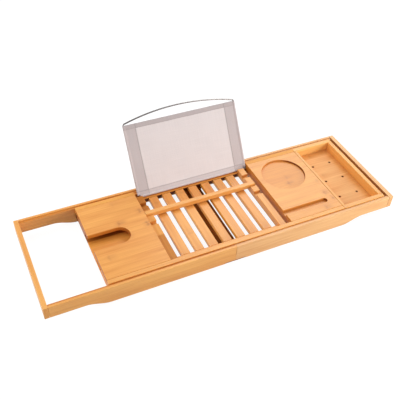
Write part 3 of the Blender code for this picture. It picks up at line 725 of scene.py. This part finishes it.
def apply_modifier(piece, kind, **values):
    """Add a modifier with its values and apply it."""
    modifier = piece.modifiers.new(kind.title(), kind)
    for key, value in values.items():
        setattr(modifier, key, value)
    bpy.context.view_layer.objects.active = piece
    bpy.ops.object.modifier_apply(modifier=modifier.name)


def lean_back(piece):
    """Turn a flat piece of the stand into its place on the tray."""
    piece.data.transform(Matrix.Translation(STAND_FOOT) @ Matrix.Rotation(STAND_LEAN, 4, "X"))
    piece.data.update()


def stand_position(tree):
    """Place in the stand's own flat frame, from the object's coordinates."""
    spot = tree.nodes.new("ShaderNodeTexCoord")
    turned = tree.nodes.new("ShaderNodeMapping")
    turned.vector_type = "TEXTURE"
    turned.inputs["Location"].default_value = tuple(STAND_FOOT)
    turned.inputs["Rotation"].default_value = (STAND_LEAN, 0, 0)
    tree.links.new(spot.outputs["Object"], turned.inputs["Vector"])
    return turned.outputs["Vector"]


# Book stand

def arch_shape():
    """Height of the arch's centre, centre of the left bend and the angle where arch and bend meet."""
    radius = (HALF_SPAN ** 2 + ARCH_RISE ** 2) / (2 * ARCH_RISE)
    arch_centre = SIDE_HEIGHT + ARCH_RISE - radius
    bend_x = BEND_RADIUS - HALF_SPAN
    bend_y = arch_centre + math.sqrt((radius - BEND_RADIUS) ** 2 - bend_x ** 2)
    return arch_centre, bend_x, bend_y, math.atan2(-bend_x, bend_y - arch_centre)


def wire_ring(x, y, turn, sides):
    """Ring of points that a wire is drawn out of."""
    bpy.ops.mesh.primitive_circle_add(
        vertices=sides, radius=WIRE_RADIUS, location=(x, y, 0), rotation=turn)


def bent_wire(sides):
    """Side, bend, arch, bend and side, drawn out of one ring of points."""
    arch_centre, bend_x, bend_y, meet = arch_shape()
    clear_selection()
    wire_ring(-HALF_SPAN, FOOT_CLEARANCE, (math.pi / 2, 0, 0), sides)
    wire = name_piece("book_stand_wire")
    bpy.ops.object.mode_set(mode="EDIT")
    bpy.ops.mesh.select_all(action="SELECT")
    rise = bend_y - FOOT_CLEARANCE
    extrude_by((0, rise, 0))
    corner = math.pi / 2 - meet
    bpy.ops.mesh.spin(steps=8, angle=corner, center=(bend_x, bend_y, 0), axis=(0, 0, 1))
    bpy.ops.mesh.spin(steps=60, angle=2 * meet, center=(0, arch_centre, 0), axis=(0, 0, 1))
    bpy.ops.mesh.spin(steps=8, angle=corner, center=(-bend_x, bend_y, 0), axis=(0, 0, 1))
    extrude_by((0, -rise, 0))
    close_shell()
    return wire


def foot_rod(sides):
    """Straight rod with softened ends."""
    clear_selection()
    reach = HALF_SPAN + WIRE_RADIUS
    wire_ring(-reach, 0, (0, math.pi / 2, 0), sides)
    rod = name_piece("book_stand_rod")
    bpy.ops.object.mode_set(mode="EDIT")
    bpy.ops.mesh.select_all(action="SELECT")
    extrude_by((2 * reach, 0, 0))
    close_shell()
    return rod


def chrome_material(context):
    """Chromed wire with fine drawing lines, smudges and painted light that brightens it towards the right.
    """
    look = context.scene.bath_tray.wire
    material, tree, shader = new_material("Chromed wire")
    place_on_stand = stand_position(tree)
    smudge = cloudy(tree, place_on_stand, scale=70, detail=3)
    scratch = cloudy(tree, vector_of(tree, "MULTIPLY", place_on_stand, (60, 60, 4000)), detail=2)
    shade = calculate(tree, "MULTIPLY_ADD", difference(tree, smudge, 0.5), 0.25, 0.5)
    colour = blended(tree, shade, rgba(look.colour, 0.8), rgba(look.colour, 1.2))
    # Painted light: darker at the left end, brighter at the right
    painted_light_to_right = ramp(tree, separated(tree, place_on_stand)[0], -HALF_SPAN, HALF_SPAN, 0.6, 1.15)
    colour = blended(tree, 1.0, colour, combined(tree, painted_light_to_right, painted_light_to_right, painted_light_to_right), "MULTIPLY")
    tree.links.new(colour, shader.inputs["Base Color"])
    dull = calculate(tree, "MULTIPLY_ADD", difference(tree, scratch, 0.5), 0.1, look.roughness)
    dull = calculate(tree, "MULTIPLY_ADD", smudge, 0.08, dull)
    tree.links.new(dull, shader.inputs["Roughness"])
    shader.inputs["Metallic"].default_value = 1.0
    return material


def slack_at(x, y, slack):
    """How far the cloth stands out of its plane at a place: not at all at the rod, freely higher up."""
    across = max(0.0, 1 - (x / (HALF_SPAN - SLEEVE_REACH)) ** 2)
    upward = min(max((y - SLEEVE_REACH) / (CLOTH_TOP - SLEEVE_REACH), 0.0), 1.0)
    hang = -slack * across * (0.35 + 0.65 * math.sin(math.pi * (0.15 + 0.7 * upward)))
    free = min(1.0, across * 3)
    soft = noise.noise(Vector((x * 16, y * 9, 0.3))) * 0.7 * MM
    pucker = noise.noise(Vector((x * 95, y * 30, 4.1))) * 0.22 * MM
    near_hem = max(0.0, 1 - (y - SLEEVE_REACH) / (26 * MM)) + max(0.0, 1 - (CLOTH_TOP - y) / (22 * MM))
    above_rod = min(max((y - SLEEVE_REACH) / FOOT_STRETCH, 0.0), 1.0)
    loose = above_rod * above_rod * (3 - 2 * above_rod)
    return loose * (hang + free * (soft + pucker * (0.25 + near_hem)))


def sleeve_section(hem, back):
    """Half section of a hem round its wire: in along the front, round the wire and out along the back."""
    steps = 7
    front = []
    for step in range(steps + 1):
        share = step / steps
        lift = LAYER_SPACE + (SLEEVE_RADIUS - LAYER_SPACE) * math.sin(math.pi / 2 * share) ** 2
        front.append((SLEEVE_REACH * (1 - share), lift))
    turns = 10
    bow = []
    for step in range(1, turns):
        angle = math.pi * step / turns
        bow.append((-SLEEVE_RADIUS * math.sin(angle), SLEEVE_RADIUS * math.cos(angle)))
    rear = [(along, min(-back, -lift)) for along, lift in reversed(front)]
    flat = [(SLEEVE_REACH + (hem - SLEEVE_REACH) * step / 6, -back) for step in range(1, 7)]
    return front + bow + rear + flat


def cloth_sheet(look):
    """One sheet, its side hems round the wires, its foot hem round the rod, its top edge turned over."""
    clear_selection()
    inner = HALF_SPAN - SLEEVE_REACH
    height = CLOTH_TOP - SLEEVE_REACH
    bpy.ops.mesh.primitive_grid_add(
        x_subdivisions=84, y_subdivisions=50, size=1, location=(0, SLEEVE_REACH + height / 2, LAYER_SPACE))
    bpy.context.object.scale = (2 * inner, height, 1)
    cloth = name_piece("book_stand_cloth")
    bpy.ops.object.mode_set(mode="EDIT")
    hair = 0.01 * MM
    for sign in (-1, 1):
        pick_points(cloth, lambda spot: sign * spot.x > inner - hair)
        section = sleeve_section(SIDE_HEM, LAYER_SPACE)
        extrude_along([(-sign * along, 0, out) for along, out in section])
    pick_points(
        cloth, lambda spot: spot.y < SLEEVE_REACH + hair and abs(spot.x) < inner + hair and spot.z > 0)
    extrude_along([(0, along, out) for along, out in sleeve_section(FOOT_HEM, 3 * LAYER_SPACE)])
    pick_points(
        cloth, lambda spot: spot.y > CLOTH_TOP - hair and abs(spot.x) < inner + hair and spot.z > 0)
    bulge = 0.3 * MM
    behind = -3 * LAYER_SPACE
    fold = [(0, 0, LAYER_SPACE), (0, bulge, 0), (0, bulge, -2 * LAYER_SPACE), (0, 0, behind)]
    fold += [(0, -TOP_HEM * step / 4, behind) for step in range(1, 5)]
    extrude_along(fold)
    bpy.ops.mesh.select_all(action="SELECT")
    bpy.ops.mesh.normals_make_consistent(inside=False)
    bpy.ops.object.mode_set(mode="OBJECT")
    for point in cloth.data.vertices:
        point.co.z += slack_at(point.co.x, point.co.y, look.slack)
    apply_modifier(cloth, "SOLIDIFY", thickness=look.thickness, offset=0.0)
    return cloth


def stitch_row(name, look, start, direction, length):
    """Row of stitches: one rounded thread, repeated."""
    clear_selection()
    pitch = look.stitch_pitch
    along_x = abs(direction[0]) > 0.5
    turn = (0, math.pi / 2, 0) if along_x else (math.pi / 2, 0, 0)
    middle = Vector(start) + Vector(direction) * pitch / 2
    bpy.ops.mesh.primitive_cylinder_add(
        vertices=6, radius=0.26 * MM, depth=0.7 * pitch, location=middle, rotation=turn)
    row = name_piece(name)
    apply_modifier(row, "BEVEL", width=0.16 * MM, segments=1, limit_method="ANGLE")
    count = int(length / pitch)
    apply_modifier(row, "ARRAY", count=count, use_relative_offset=False, use_constant_offset=True,
                   constant_offset_displace=tuple(Vector(direction) * pitch))
    return row


def cloth_stitching(look):
    """Stitches down both side hems, along the foot hem and along the top hem."""
    front = LAYER_SPACE + look.thickness * 0.6
    inner = HALF_SPAN - SLEEVE_REACH
    seam_x = HALF_SPAN - SIDE_HEM + SEAM_INSET
    foot_y = FOOT_HEM - SEAM_INSET
    top_y = CLOTH_TOP - TOP_HEM + TOP_SEAM_INSET
    side_length = CLOTH_TOP - FOOT_HEM - TOP_HEM
    rows = [
        stitch_row("row_left", look, (-seam_x, FOOT_HEM, front), UP_CLOTH, side_length),
        stitch_row("row_right", look, (seam_x, FOOT_HEM, front), UP_CLOTH, side_length),
        stitch_row("row_foot", look, (-inner, foot_y, front), ACROSS_CLOTH, 2 * inner),
        stitch_row("row_top", look, (-inner, top_y, front), ACROSS_CLOTH, 2 * inner),
    ]
    clear_selection()
    for row in rows:
        row.select_set(True)
    bpy.context.view_layer.objects.active = rows[0]
    bpy.ops.object.join()
    stitches = name_piece("book_stand_stitches")
    for point in stitches.data.vertices:
        point.co.z += slack_at(point.co.x, point.co.y, look.slack)
    return stitches


def cloth_material(context):
    """Woven cloth, with painted shade where it lies double in its hems and along its seams."""
    look = context.scene.bath_tray.cloth
    material, tree, shader = new_material("Stand cloth")
    spot = stand_position(tree)
    x, y, _ = separated(tree, spot)
    weave = add_group(tree, weave_group(), Position=spot, Pitch=look.thread_pitch)
    from_side = difference(tree, HALF_SPAN, without_sign(tree, x))
    uneven = product(tree, difference(tree, cloudy(tree, spot, scale=40), 0.5), 0.0012)
    wavy_side = calculate(tree, "ADD", from_side, uneven)
    wavy_y = calculate(tree, "ADD", y, uneven)
    top_edge = CLOTH_TOP - TOP_HEM
    blur = 0.4 * MM
    side = ramp(tree, wavy_side, SIDE_HEM - blur, SIDE_HEM + blur, 1, 0)
    top = ramp(tree, wavy_y, top_edge - blur, top_edge + blur)
    foot = ramp(tree, wavy_y, FOOT_HEM - blur, FOOT_HEM + blur, 0.6, 0)
    # Painted shade where the cloth lies double, more in the top hem
    double = calculate(tree, "MAXIMUM", calculate(tree, "MAXIMUM", side, top), foot)
    colour = blended(tree, double, rgba(look.colour), rgba(look.hem))
    colour = tinted_where(tree, top, colour, (0.90, 0.89, 0.89))
    # Painted shadow along the seams
    side_seam = without_sign(tree, difference(tree, wavy_side, SIDE_HEM))
    foot_seam = without_sign(tree, difference(tree, wavy_y, FOOT_HEM))
    from_seam = calculate(tree, "MINIMUM", side_seam, foot_seam)
    painted_seam_shadow = ramp(tree, from_seam, 0.2 * MM, 1.3 * MM, 1, 0)
    colour = tinted_where(tree, painted_seam_shadow, colour, (0.80, 0.79, 0.79))
    shade = ramp(tree, weave.outputs["Shade"], 0.2, 0.8, 0.95, 1.05)
    colour = blended(tree, 1.0, colour, combined(tree, shade, shade, shade), "MULTIPLY")
    tree.links.new(colour, shader.inputs["Base Color"])
    dull = ramp(tree, weave.outputs["Height"], 0, 1, 0.95, 0.8)
    tree.links.new(dull, shader.inputs["Roughness"])
    add_bump(tree, shader, weave.outputs["Height"], 0.35)
    shader.inputs["Sheen Weight"].default_value = 0.15
    shader.inputs["Specular IOR Level"].default_value = 0.25
    return material


def thread_material(context):
    """Twisted sewing thread."""
    look = context.scene.bath_tray.cloth
    material, tree, shader = new_material("Sewing thread")
    spot = stand_position(tree)
    x, y, _ = separated(tree, spot)
    twist = calculate(tree, "SINE", product(tree, calculate(tree, "ADD", x, y), 9000))
    fuzz = cloudy(tree, spot, scale=900, detail=2)
    # The twist's turns lighter and darker: painted shade, with uneven fuzz
    shade = calculate(tree, "MULTIPLY_ADD", twist, 0.12, fuzz, clamp=True)
    colour = blended(tree, shade, rgba(look.thread, 0.85), rgba(look.thread, 1.15))
    tree.links.new(colour, shader.inputs["Base Color"])
    tree.links.new(ramp(tree, fuzz, 0, 1, 0.7, 0.9), shader.inputs["Roughness"])
    return material


# Operators

class TRAY_OT_arms(bpy.types.Operator):
    """Finish the two sliding arms"""
    bl_idname = "bath_tray.arms"
    bl_label = "Arms"

    def execute(self, context):
        # The right arm's rails paler and whiter: a painted sheen
        paler = (0.98, 1.14, 1.80)
        # Painted shade on the right end rail's inner face
        painted_shade_on_inner_face = on_face("arm_end_rail_right", RIGHT_TO_LEFT)
        # Painted shade on the rebate ledges of the left rails
        finish_bamboo(context, LEFT_RAILS, ACROSS_TRAY, (10 * MM, 20 * MM), knuckles=0.45,
                      marks=[(on_ledges, (0.80, 0.62, 0.35))])
        finish_bamboo(context, RIGHT_RAILS, ACROSS_TRAY, (10 * MM, 20 * MM), knuckles=0.45, tint=paler)
        finish_bamboo(context, ("arm_end_rail_left",), FRONT_TO_BACK, (10 * MM, 14 * MM), knuckles=0.4)
        finish_bamboo(context, ("arm_end_rail_right",), FRONT_TO_BACK, (10 * MM, 14 * MM), knuckles=0.4,
                      tint=paler, marks=[(painted_shade_on_inner_face, (0.55, 0.42, 0.32))])
        return {"FINISHED"}


class TRAY_OT_tray_frame(bpy.types.Operator):
    """Finish the tray's side rails, runners, brace and blocks"""
    bl_idname = "bath_tray.tray_frame"
    bl_label = "Tray frame"

    def execute(self, context):
        slat_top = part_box(SLATS[0])[1].z
        # Painted shade on the back side rail below the slats
        painted_shade_under_slats = past(DOWN, 0.8 * MM - slat_top, 1.8 * MM - slat_top)
        finish_bamboo(context, SIDE_RAILS, ACROSS_TRAY, (10 * MM, 14 * MM), knuckles=0.4)
        finish_bamboo(context, ("side_rail_back",), ACROSS_TRAY, (10 * MM, 14 * MM), knuckles=0.4,
                      gloss=0.25, marks=[(painted_shade_under_slats, (0.16, 0.11, 0.08))])
        # The brace much darker: painted shade under the slats
        finish_bamboo(context, BRACE, FRONT_TO_BACK, (18 * MM, 8 * MM), knuckles=0.5,
                      tint=(0.45, 0.36, 0.30), gloss=0.25)
        return {"FINISHED"}


class TRAY_OT_glass_holder(bpy.types.Operator):
    """Finish the glass holder"""
    bl_idname = "bath_tray.glass_holder"
    bl_label = "Glass holder"

    def execute(self, context):
        # Glass holder more golden: painted bounce light; painted shadow on the shelf under the slot's back
        # edge
        slot_edge = GLASS_SLOT_WIDTH / 2
        painted_shadow_under_panel = past(FRONT_TO_BACK, slot_edge - 1.7 * MM, slot_edge + 1.8 * MM)
        finish_bamboo(context, GLASS_HOLDER, ACROSS_TRAY, (19 * MM, 9 * MM), tone=-0.1, knuckles=0.5,
                      tint=(1.0, 0.90, 0.62), marks=[(painted_shadow_under_panel, (0.50, 0.38, 0.26))])
        # Painted shade on the glass panel's upright faces and end faces
        finish_bamboo(context, ("glass_panel",), ACROSS_TRAY, (19 * MM, 9 * MM), tone=-0.03, knuckles=1.4,
                      tint=(1.0, 0.95, 0.85),
                      marks=[(on_walls, (0.80, 0.64, 0.40)), (on_ends, (0.75, 0.68, 0.60))])
        return {"FINISHED"}


class TRAY_OT_rack(bpy.types.Operator):
    """Finish the sunken rack with its slats and notched rails"""
    bl_idname = "bath_tray.rack"
    bl_label = "Rack"

    def execute(self, context):
        bar_front, bar_back = (corner.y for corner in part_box("stop_bar"))
        shade_end = bar_back + BAR_SHADE_REACH
        painted_shade_behind_bar = past(FRONT_TO_BACK, bar_front + 2.2 * MM, shade_end)
        # Painted golden light on the slats' upright faces
        painted_light_on_slat_walls = (on_walls, (1.06, 1.18, 0.95))
        # Painted shade on the slats behind the stop bar
        shade = (painted_shade_behind_bar, (0.96, 0.84, 0.64))
        for slats, marks in ((SHADED_SLATS, [shade, painted_light_on_slat_walls]), (LIT_SLATS, [painted_light_on_slat_walls])):
            finish_bamboo(context, slats, FRONT_TO_BACK, (18 * MM, 9 * MM), tone=-0.02, knuckles=0.6,
                          tint=(0.98, 0.93, 0.85), marks=marks)
        finish_bamboo(context, NOTCHED_RAILS, FRONT_TO_BACK, (13 * MM, 18 * MM), knuckles=0.5)
        front_half = past(BACK_TO_FRONT, DARK_FRONT_OF_RAIL - 3 * MM, DARK_FRONT_OF_RAIL + 3 * MM)
        # Painted shade on the left notched rail's teeth behind the bar
        painted_shade_on_back_teeth = past(FRONT_TO_BACK, shade_end - 6 * MM, shade_end)
        finish_bamboo(context, ("notched_rail_left",), FRONT_TO_BACK, (16 * MM, 18 * MM), gloss=0.4,
                      marks=[(front_half, (0.71, 0.57, 0.37)), (painted_shade_on_back_teeth, (0.66, 0.50, 0.26))])
        finish_bamboo(context, ("rack_rail_front",), ACROSS_TRAY, (12 * MM, 18 * MM), tone=-0.1,
                      knuckles=0.4)
        # Rack's back rail darker: painted shade, deepest on its front face
        painted_shade_on_front_face = on_face("rack_rail_back", BACK_TO_FRONT)
        finish_bamboo(context, ("rack_rail_back",), ACROSS_TRAY, (8 * MM, 18 * MM), tone=-0.1, gloss=0.25,
                      tint=(0.94, 0.80, 0.66), marks=[(painted_shade_on_front_face, (0.20, 0.13, 0.10))])
        return {"FINISHED"}


class TRAY_OT_cup_panel(bpy.types.Operator):
    """Finish the panel with the cup recess and the phone slot"""
    bl_idname = "bath_tray.cup_panel"
    bl_label = "Cup panel"

    def execute(self, context):
        # Painted shade on the recess and slot floors, upright walls, end faces, closing end walls and cup
        # rim
        finish_bamboo(context, ("cup_panel",), ACROSS_TRAY, (19 * MM, 18 * MM), knuckles=1.2,
                      tint=(0.98, 0.96, 0.94),
                      marks=[(on_ledges, (0.94, 0.86, 0.70)), (on_walls, (0.88, 0.84, 0.70)),
                             (on_ends, (0.96, 0.82, 0.34)), (painted_shade_at_recess_end, (0.40, 0.28, 0.20)),
                             (painted_shade_on_cup_rim, (0.90, 0.80, 0.66))])
        return {"FINISHED"}


class TRAY_OT_soap_tray(bpy.types.Operator):
    """Finish the lift-out soap tray"""
    bl_idname = "bath_tray.soap_tray"
    bl_label = "Soap tray"

    def execute(self, context):
        # Soap floor: a painted golden glow near the walls, and painted shade in and round the drains
        finish_bamboo(context, ("soap_floor",), ACROSS_TRAY, (18 * MM, 12 * MM), tone=0.05, knuckles=0.5,
                      tint=(1.02, 1.12, 1.75), gloss=0.25, dulled=painted_shade_in_drains,
                      marks=[(painted_glow_near_soap_walls, (0.97, 0.91, 0.74)), (painted_shade_in_drains, (0.20, 0.10, 0.04))])
        # Painted light: paler upright faces, and a higher tone on the back wall
        for wall, tone in (("soap_wall_front", 0.1), ("soap_wall_back", 0.4)):
            finish_bamboo(context, (wall,), ACROSS_TRAY, (18 * MM, 12 * MM), tone=tone,
                          tint=(1.0, 1.02, 1.12), marks=[(on_walls, (1.05, 1.25, 1.45))])
        # Painted light: paler upright faces
        finish_bamboo(context, SOAP_SHORT_WALLS, FRONT_TO_BACK, (10 * MM, 12 * MM), tint=(1.0, 1.0, 1.05),
                      marks=[(on_walls, (1.03, 1.14, 1.18))])
        return {"FINISHED"}


class TRAY_OT_stop_bar(bpy.types.Operator):
    """Finish the stop bar"""
    bl_idname = "bath_tray.stop_bar"
    bl_label = "Stop bar"

    def execute(self, context):
        finish_bamboo(context, ("stop_bar",), ACROSS_TRAY, (10 * MM, 10 * MM), knuckles=0.5)
        return {"FINISHED"}


class TRAY_OT_stand_wire(bpy.types.Operator):
    """Model the book stand's bent wire and foot rod"""
    bl_idname = "bath_tray.stand_wire"
    bl_label = "Stand wire"

    def execute(self, context):
        sides = context.scene.bath_tray.wire.sides
        chrome = chrome_material(context)
        for piece, node in ((bent_wire(sides), "stand_wire"), (foot_rod(sides), "stand_foot_rod")):
            lean_back(piece)
            piece.data.materials.append(chrome)
            clear_selection()
            piece.select_set(True)
            context.view_layer.objects.active = piece
            bpy.ops.object.shade_smooth_by_angle(angle=math.radians(50))
            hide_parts(node)
            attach(piece, "stand")
        return {"FINISHED"}


class TRAY_OT_stand_cloth(bpy.types.Operator):
    """Model the book stand's cloth and its stitches"""
    bl_idname = "bath_tray.stand_cloth"
    bl_label = "Stand cloth"

    def execute(self, context):
        look = context.scene.bath_tray.cloth
        cloth = cloth_sheet(look)
        stitches = cloth_stitching(look)
        for piece, material in ((cloth, cloth_material(context)), (stitches, thread_material(context))):
            lean_back(piece)
            piece.data.materials.append(material)
            clear_selection()
            piece.select_set(True)
            context.view_layer.objects.active = piece
            bpy.ops.object.shade_smooth_by_angle(angle=math.radians(60))
            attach(piece, "stand")
        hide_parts("stand_cloth")
        return {"FINISHED"}


class TRAY_OT_stage(bpy.types.Operator):
    """Set up the floor, the lamps, the sky and the camera"""
    bl_idname = "bath_tray.stage"
    bl_label = "Stage"

    def execute(self, context):
        look = context.scene.bath_tray.stage
        clear_selection()
        bpy.ops.mesh.primitive_grid_add(
            x_subdivisions=8, y_subdivisions=8, size=8, location=(0, 0, -0.2 * MM))
        floor = name_piece("floor")
        floor.data.materials.append(floor_material(look))
        set_sky(context, look)
        lamp("key_light", (0.80, 0.85, 1.25), (1.0, 1.0), look.key_power)
        lamp("fill_light", (0.95, -0.95, 0.30), (0.9, 0.50), look.fill_power)
        lamp("side_light", (-1.1, 0.35, 0.85), (1.2, 1.2), look.side_power)
        add_camera(context)
        context.scene.view_settings.view_transform = "Standard"
        return {"FINISHED"}


def seen_rays(tree):
    """1 for what the camera, a mirror or a clear piece sees."""
    rays = tree.nodes.new("ShaderNodeLightPath").outputs
    seen = calculate(tree, "MAXIMUM", rays["Is Camera Ray"], rays["Is Glossy Ray"])
    return calculate(tree, "MAXIMUM", seen, rays["Is Transmission Ray"])


def floor_material(look):
    """Pale floor that keeps a soft shadow."""
    material, tree, shader = new_material("Floor")
    spot = tree.nodes.new("ShaderNodeTexCoord")
    speck = cloudy(tree, spot.outputs["Object"], scale=3, detail=2)
    colour = blended(tree, speck, rgba(look.floor, 0.99), rgba(look.floor, 1.01))
    tree.links.new(colour, shader.inputs["Base Color"])
    shader.inputs["Roughness"].default_value = 0.9
    shader.inputs["Specular IOR Level"].default_value = 0.0
    white = tree.nodes.new("ShaderNodeEmission")
    white.inputs["Strength"].default_value = 0.92
    shaded = tree.nodes.new("ShaderNodeBsdfDiffuse")
    grey = blended(tree, speck, (0.16, 0.16, 0.16, 1), (0.165, 0.165, 0.165, 1))
    tree.links.new(grey, shaded.inputs["Color"])
    faint = tree.nodes.new("ShaderNodeAddShader")
    tree.links.new(shaded.outputs["BSDF"], faint.inputs[0])
    tree.links.new(white.outputs["Emission"], faint.inputs[1])
    chosen = tree.nodes.new("ShaderNodeMixShader")
    tree.links.new(seen_rays(tree), chosen.inputs["Fac"])
    tree.links.new(shader.outputs["BSDF"], chosen.inputs[1])
    tree.links.new(faint.outputs["Shader"], chosen.inputs[2])
    tree.links.new(chosen.outputs["Shader"], tree.nodes["Material Output"].inputs["Surface"])
    return material


def set_sky(context, look):
    """Even light from all round, seen as white."""
    world = bpy.data.worlds.new("Studio")
    context.scene.world = world
    world.use_nodes = True
    tree = world.node_tree
    even = tree.nodes["Background"]
    even.inputs["Color"].default_value = (1, 1, 1, 1)
    even.inputs["Strength"].default_value = look.sky
    white = tree.nodes.new("ShaderNodeBackground")
    white.inputs["Color"].default_value = (1, 1, 1, 1)
    white.inputs["Strength"].default_value = 1.0
    chosen = tree.nodes.new("ShaderNodeMixShader")
    tree.links.new(seen_rays(tree), chosen.inputs["Fac"])
    tree.links.new(even.outputs["Background"], chosen.inputs[1])
    tree.links.new(white.outputs["Background"], chosen.inputs[2])
    tree.links.new(chosen.outputs["Shader"], tree.nodes["World Output"].inputs["Surface"])


def lamp(name, location, size, power):
    """Soft lamp, so wide and so high, that looks at the tray."""
    clear_selection()
    bpy.ops.object.light_add(type="AREA", location=location)
    light = bpy.context.object
    light.name = name
    light.data.shape = "RECTANGLE"
    light.data.size, light.data.size_y = size
    light.data.energy = power
    light.rotation_euler = Vector(location).to_track_quat("Z", "Y").to_euler()


def add_camera(context):
    """Camera at the photograph's place."""
    clear_selection()
    bpy.ops.object.camera_add(location=(-0.4252, -0.7679, 0.8844))
    camera = bpy.context.object
    right = (0.90547, -0.42202, 0.04496)
    up = (0.2597, 0.63472, 0.72779)
    back = (-0.33568, -0.64732, 0.68432)
    camera.rotation_euler = Matrix((right, up, back)).transposed().to_euler()
    camera.data.lens = 53.77
    camera.data.sensor_width = 36
    camera.data.clip_start = 0.01
    context.scene.camera = camera


class TRAY_PT_panel(bpy.types.Panel):
    """Steps of the bathroom tray"""
    bl_idname = "TRAY_PT_panel"
    bl_label = "Bathroom Tray"
    bl_space_type = "VIEW_3D"
    bl_region_type = "UI"
    bl_category = "Bathroom Tray"

    def draw(self, context):
        for step in STEPS:
            self.layout.operator(step.bl_idname)


STEPS = (
    TRAY_OT_stage, TRAY_OT_arms, TRAY_OT_tray_frame, TRAY_OT_glass_holder, TRAY_OT_rack, TRAY_OT_cup_panel,
    TRAY_OT_soap_tray, TRAY_OT_stop_bar, TRAY_OT_stand_wire, TRAY_OT_stand_cloth,
)
SETTINGS = (BambooSettings, WireSettings, ClothSettings, StageSettings, TraySettings)
CLASSES = SETTINGS + STEPS + (TRAY_PT_panel,)


def register():
    for made in CLASSES:
        bpy.utils.register_class(made)
    bpy.types.Scene.bath_tray = bpy.props.PointerProperty(type=TraySettings)


def unregister():
    del bpy.types.Scene.bath_tray
    for made in reversed(CLASSES):
        bpy.utils.unregister_class(made)


def main():
    register()
    bpy.ops.bath_tray.stage()
    bpy.ops.bath_tray.arms()
    bpy.ops.bath_tray.tray_frame()
    bpy.ops.bath_tray.glass_holder()
    bpy.ops.bath_tray.rack()
    bpy.ops.bath_tray.cup_panel()
    bpy.ops.bath_tray.soap_tray()
    bpy.ops.bath_tray.stop_bar()
    bpy.ops.bath_tray.stand_wire()
    bpy.ops.bath_tray.stand_cloth()


if __name__ == "__main__":
    main()
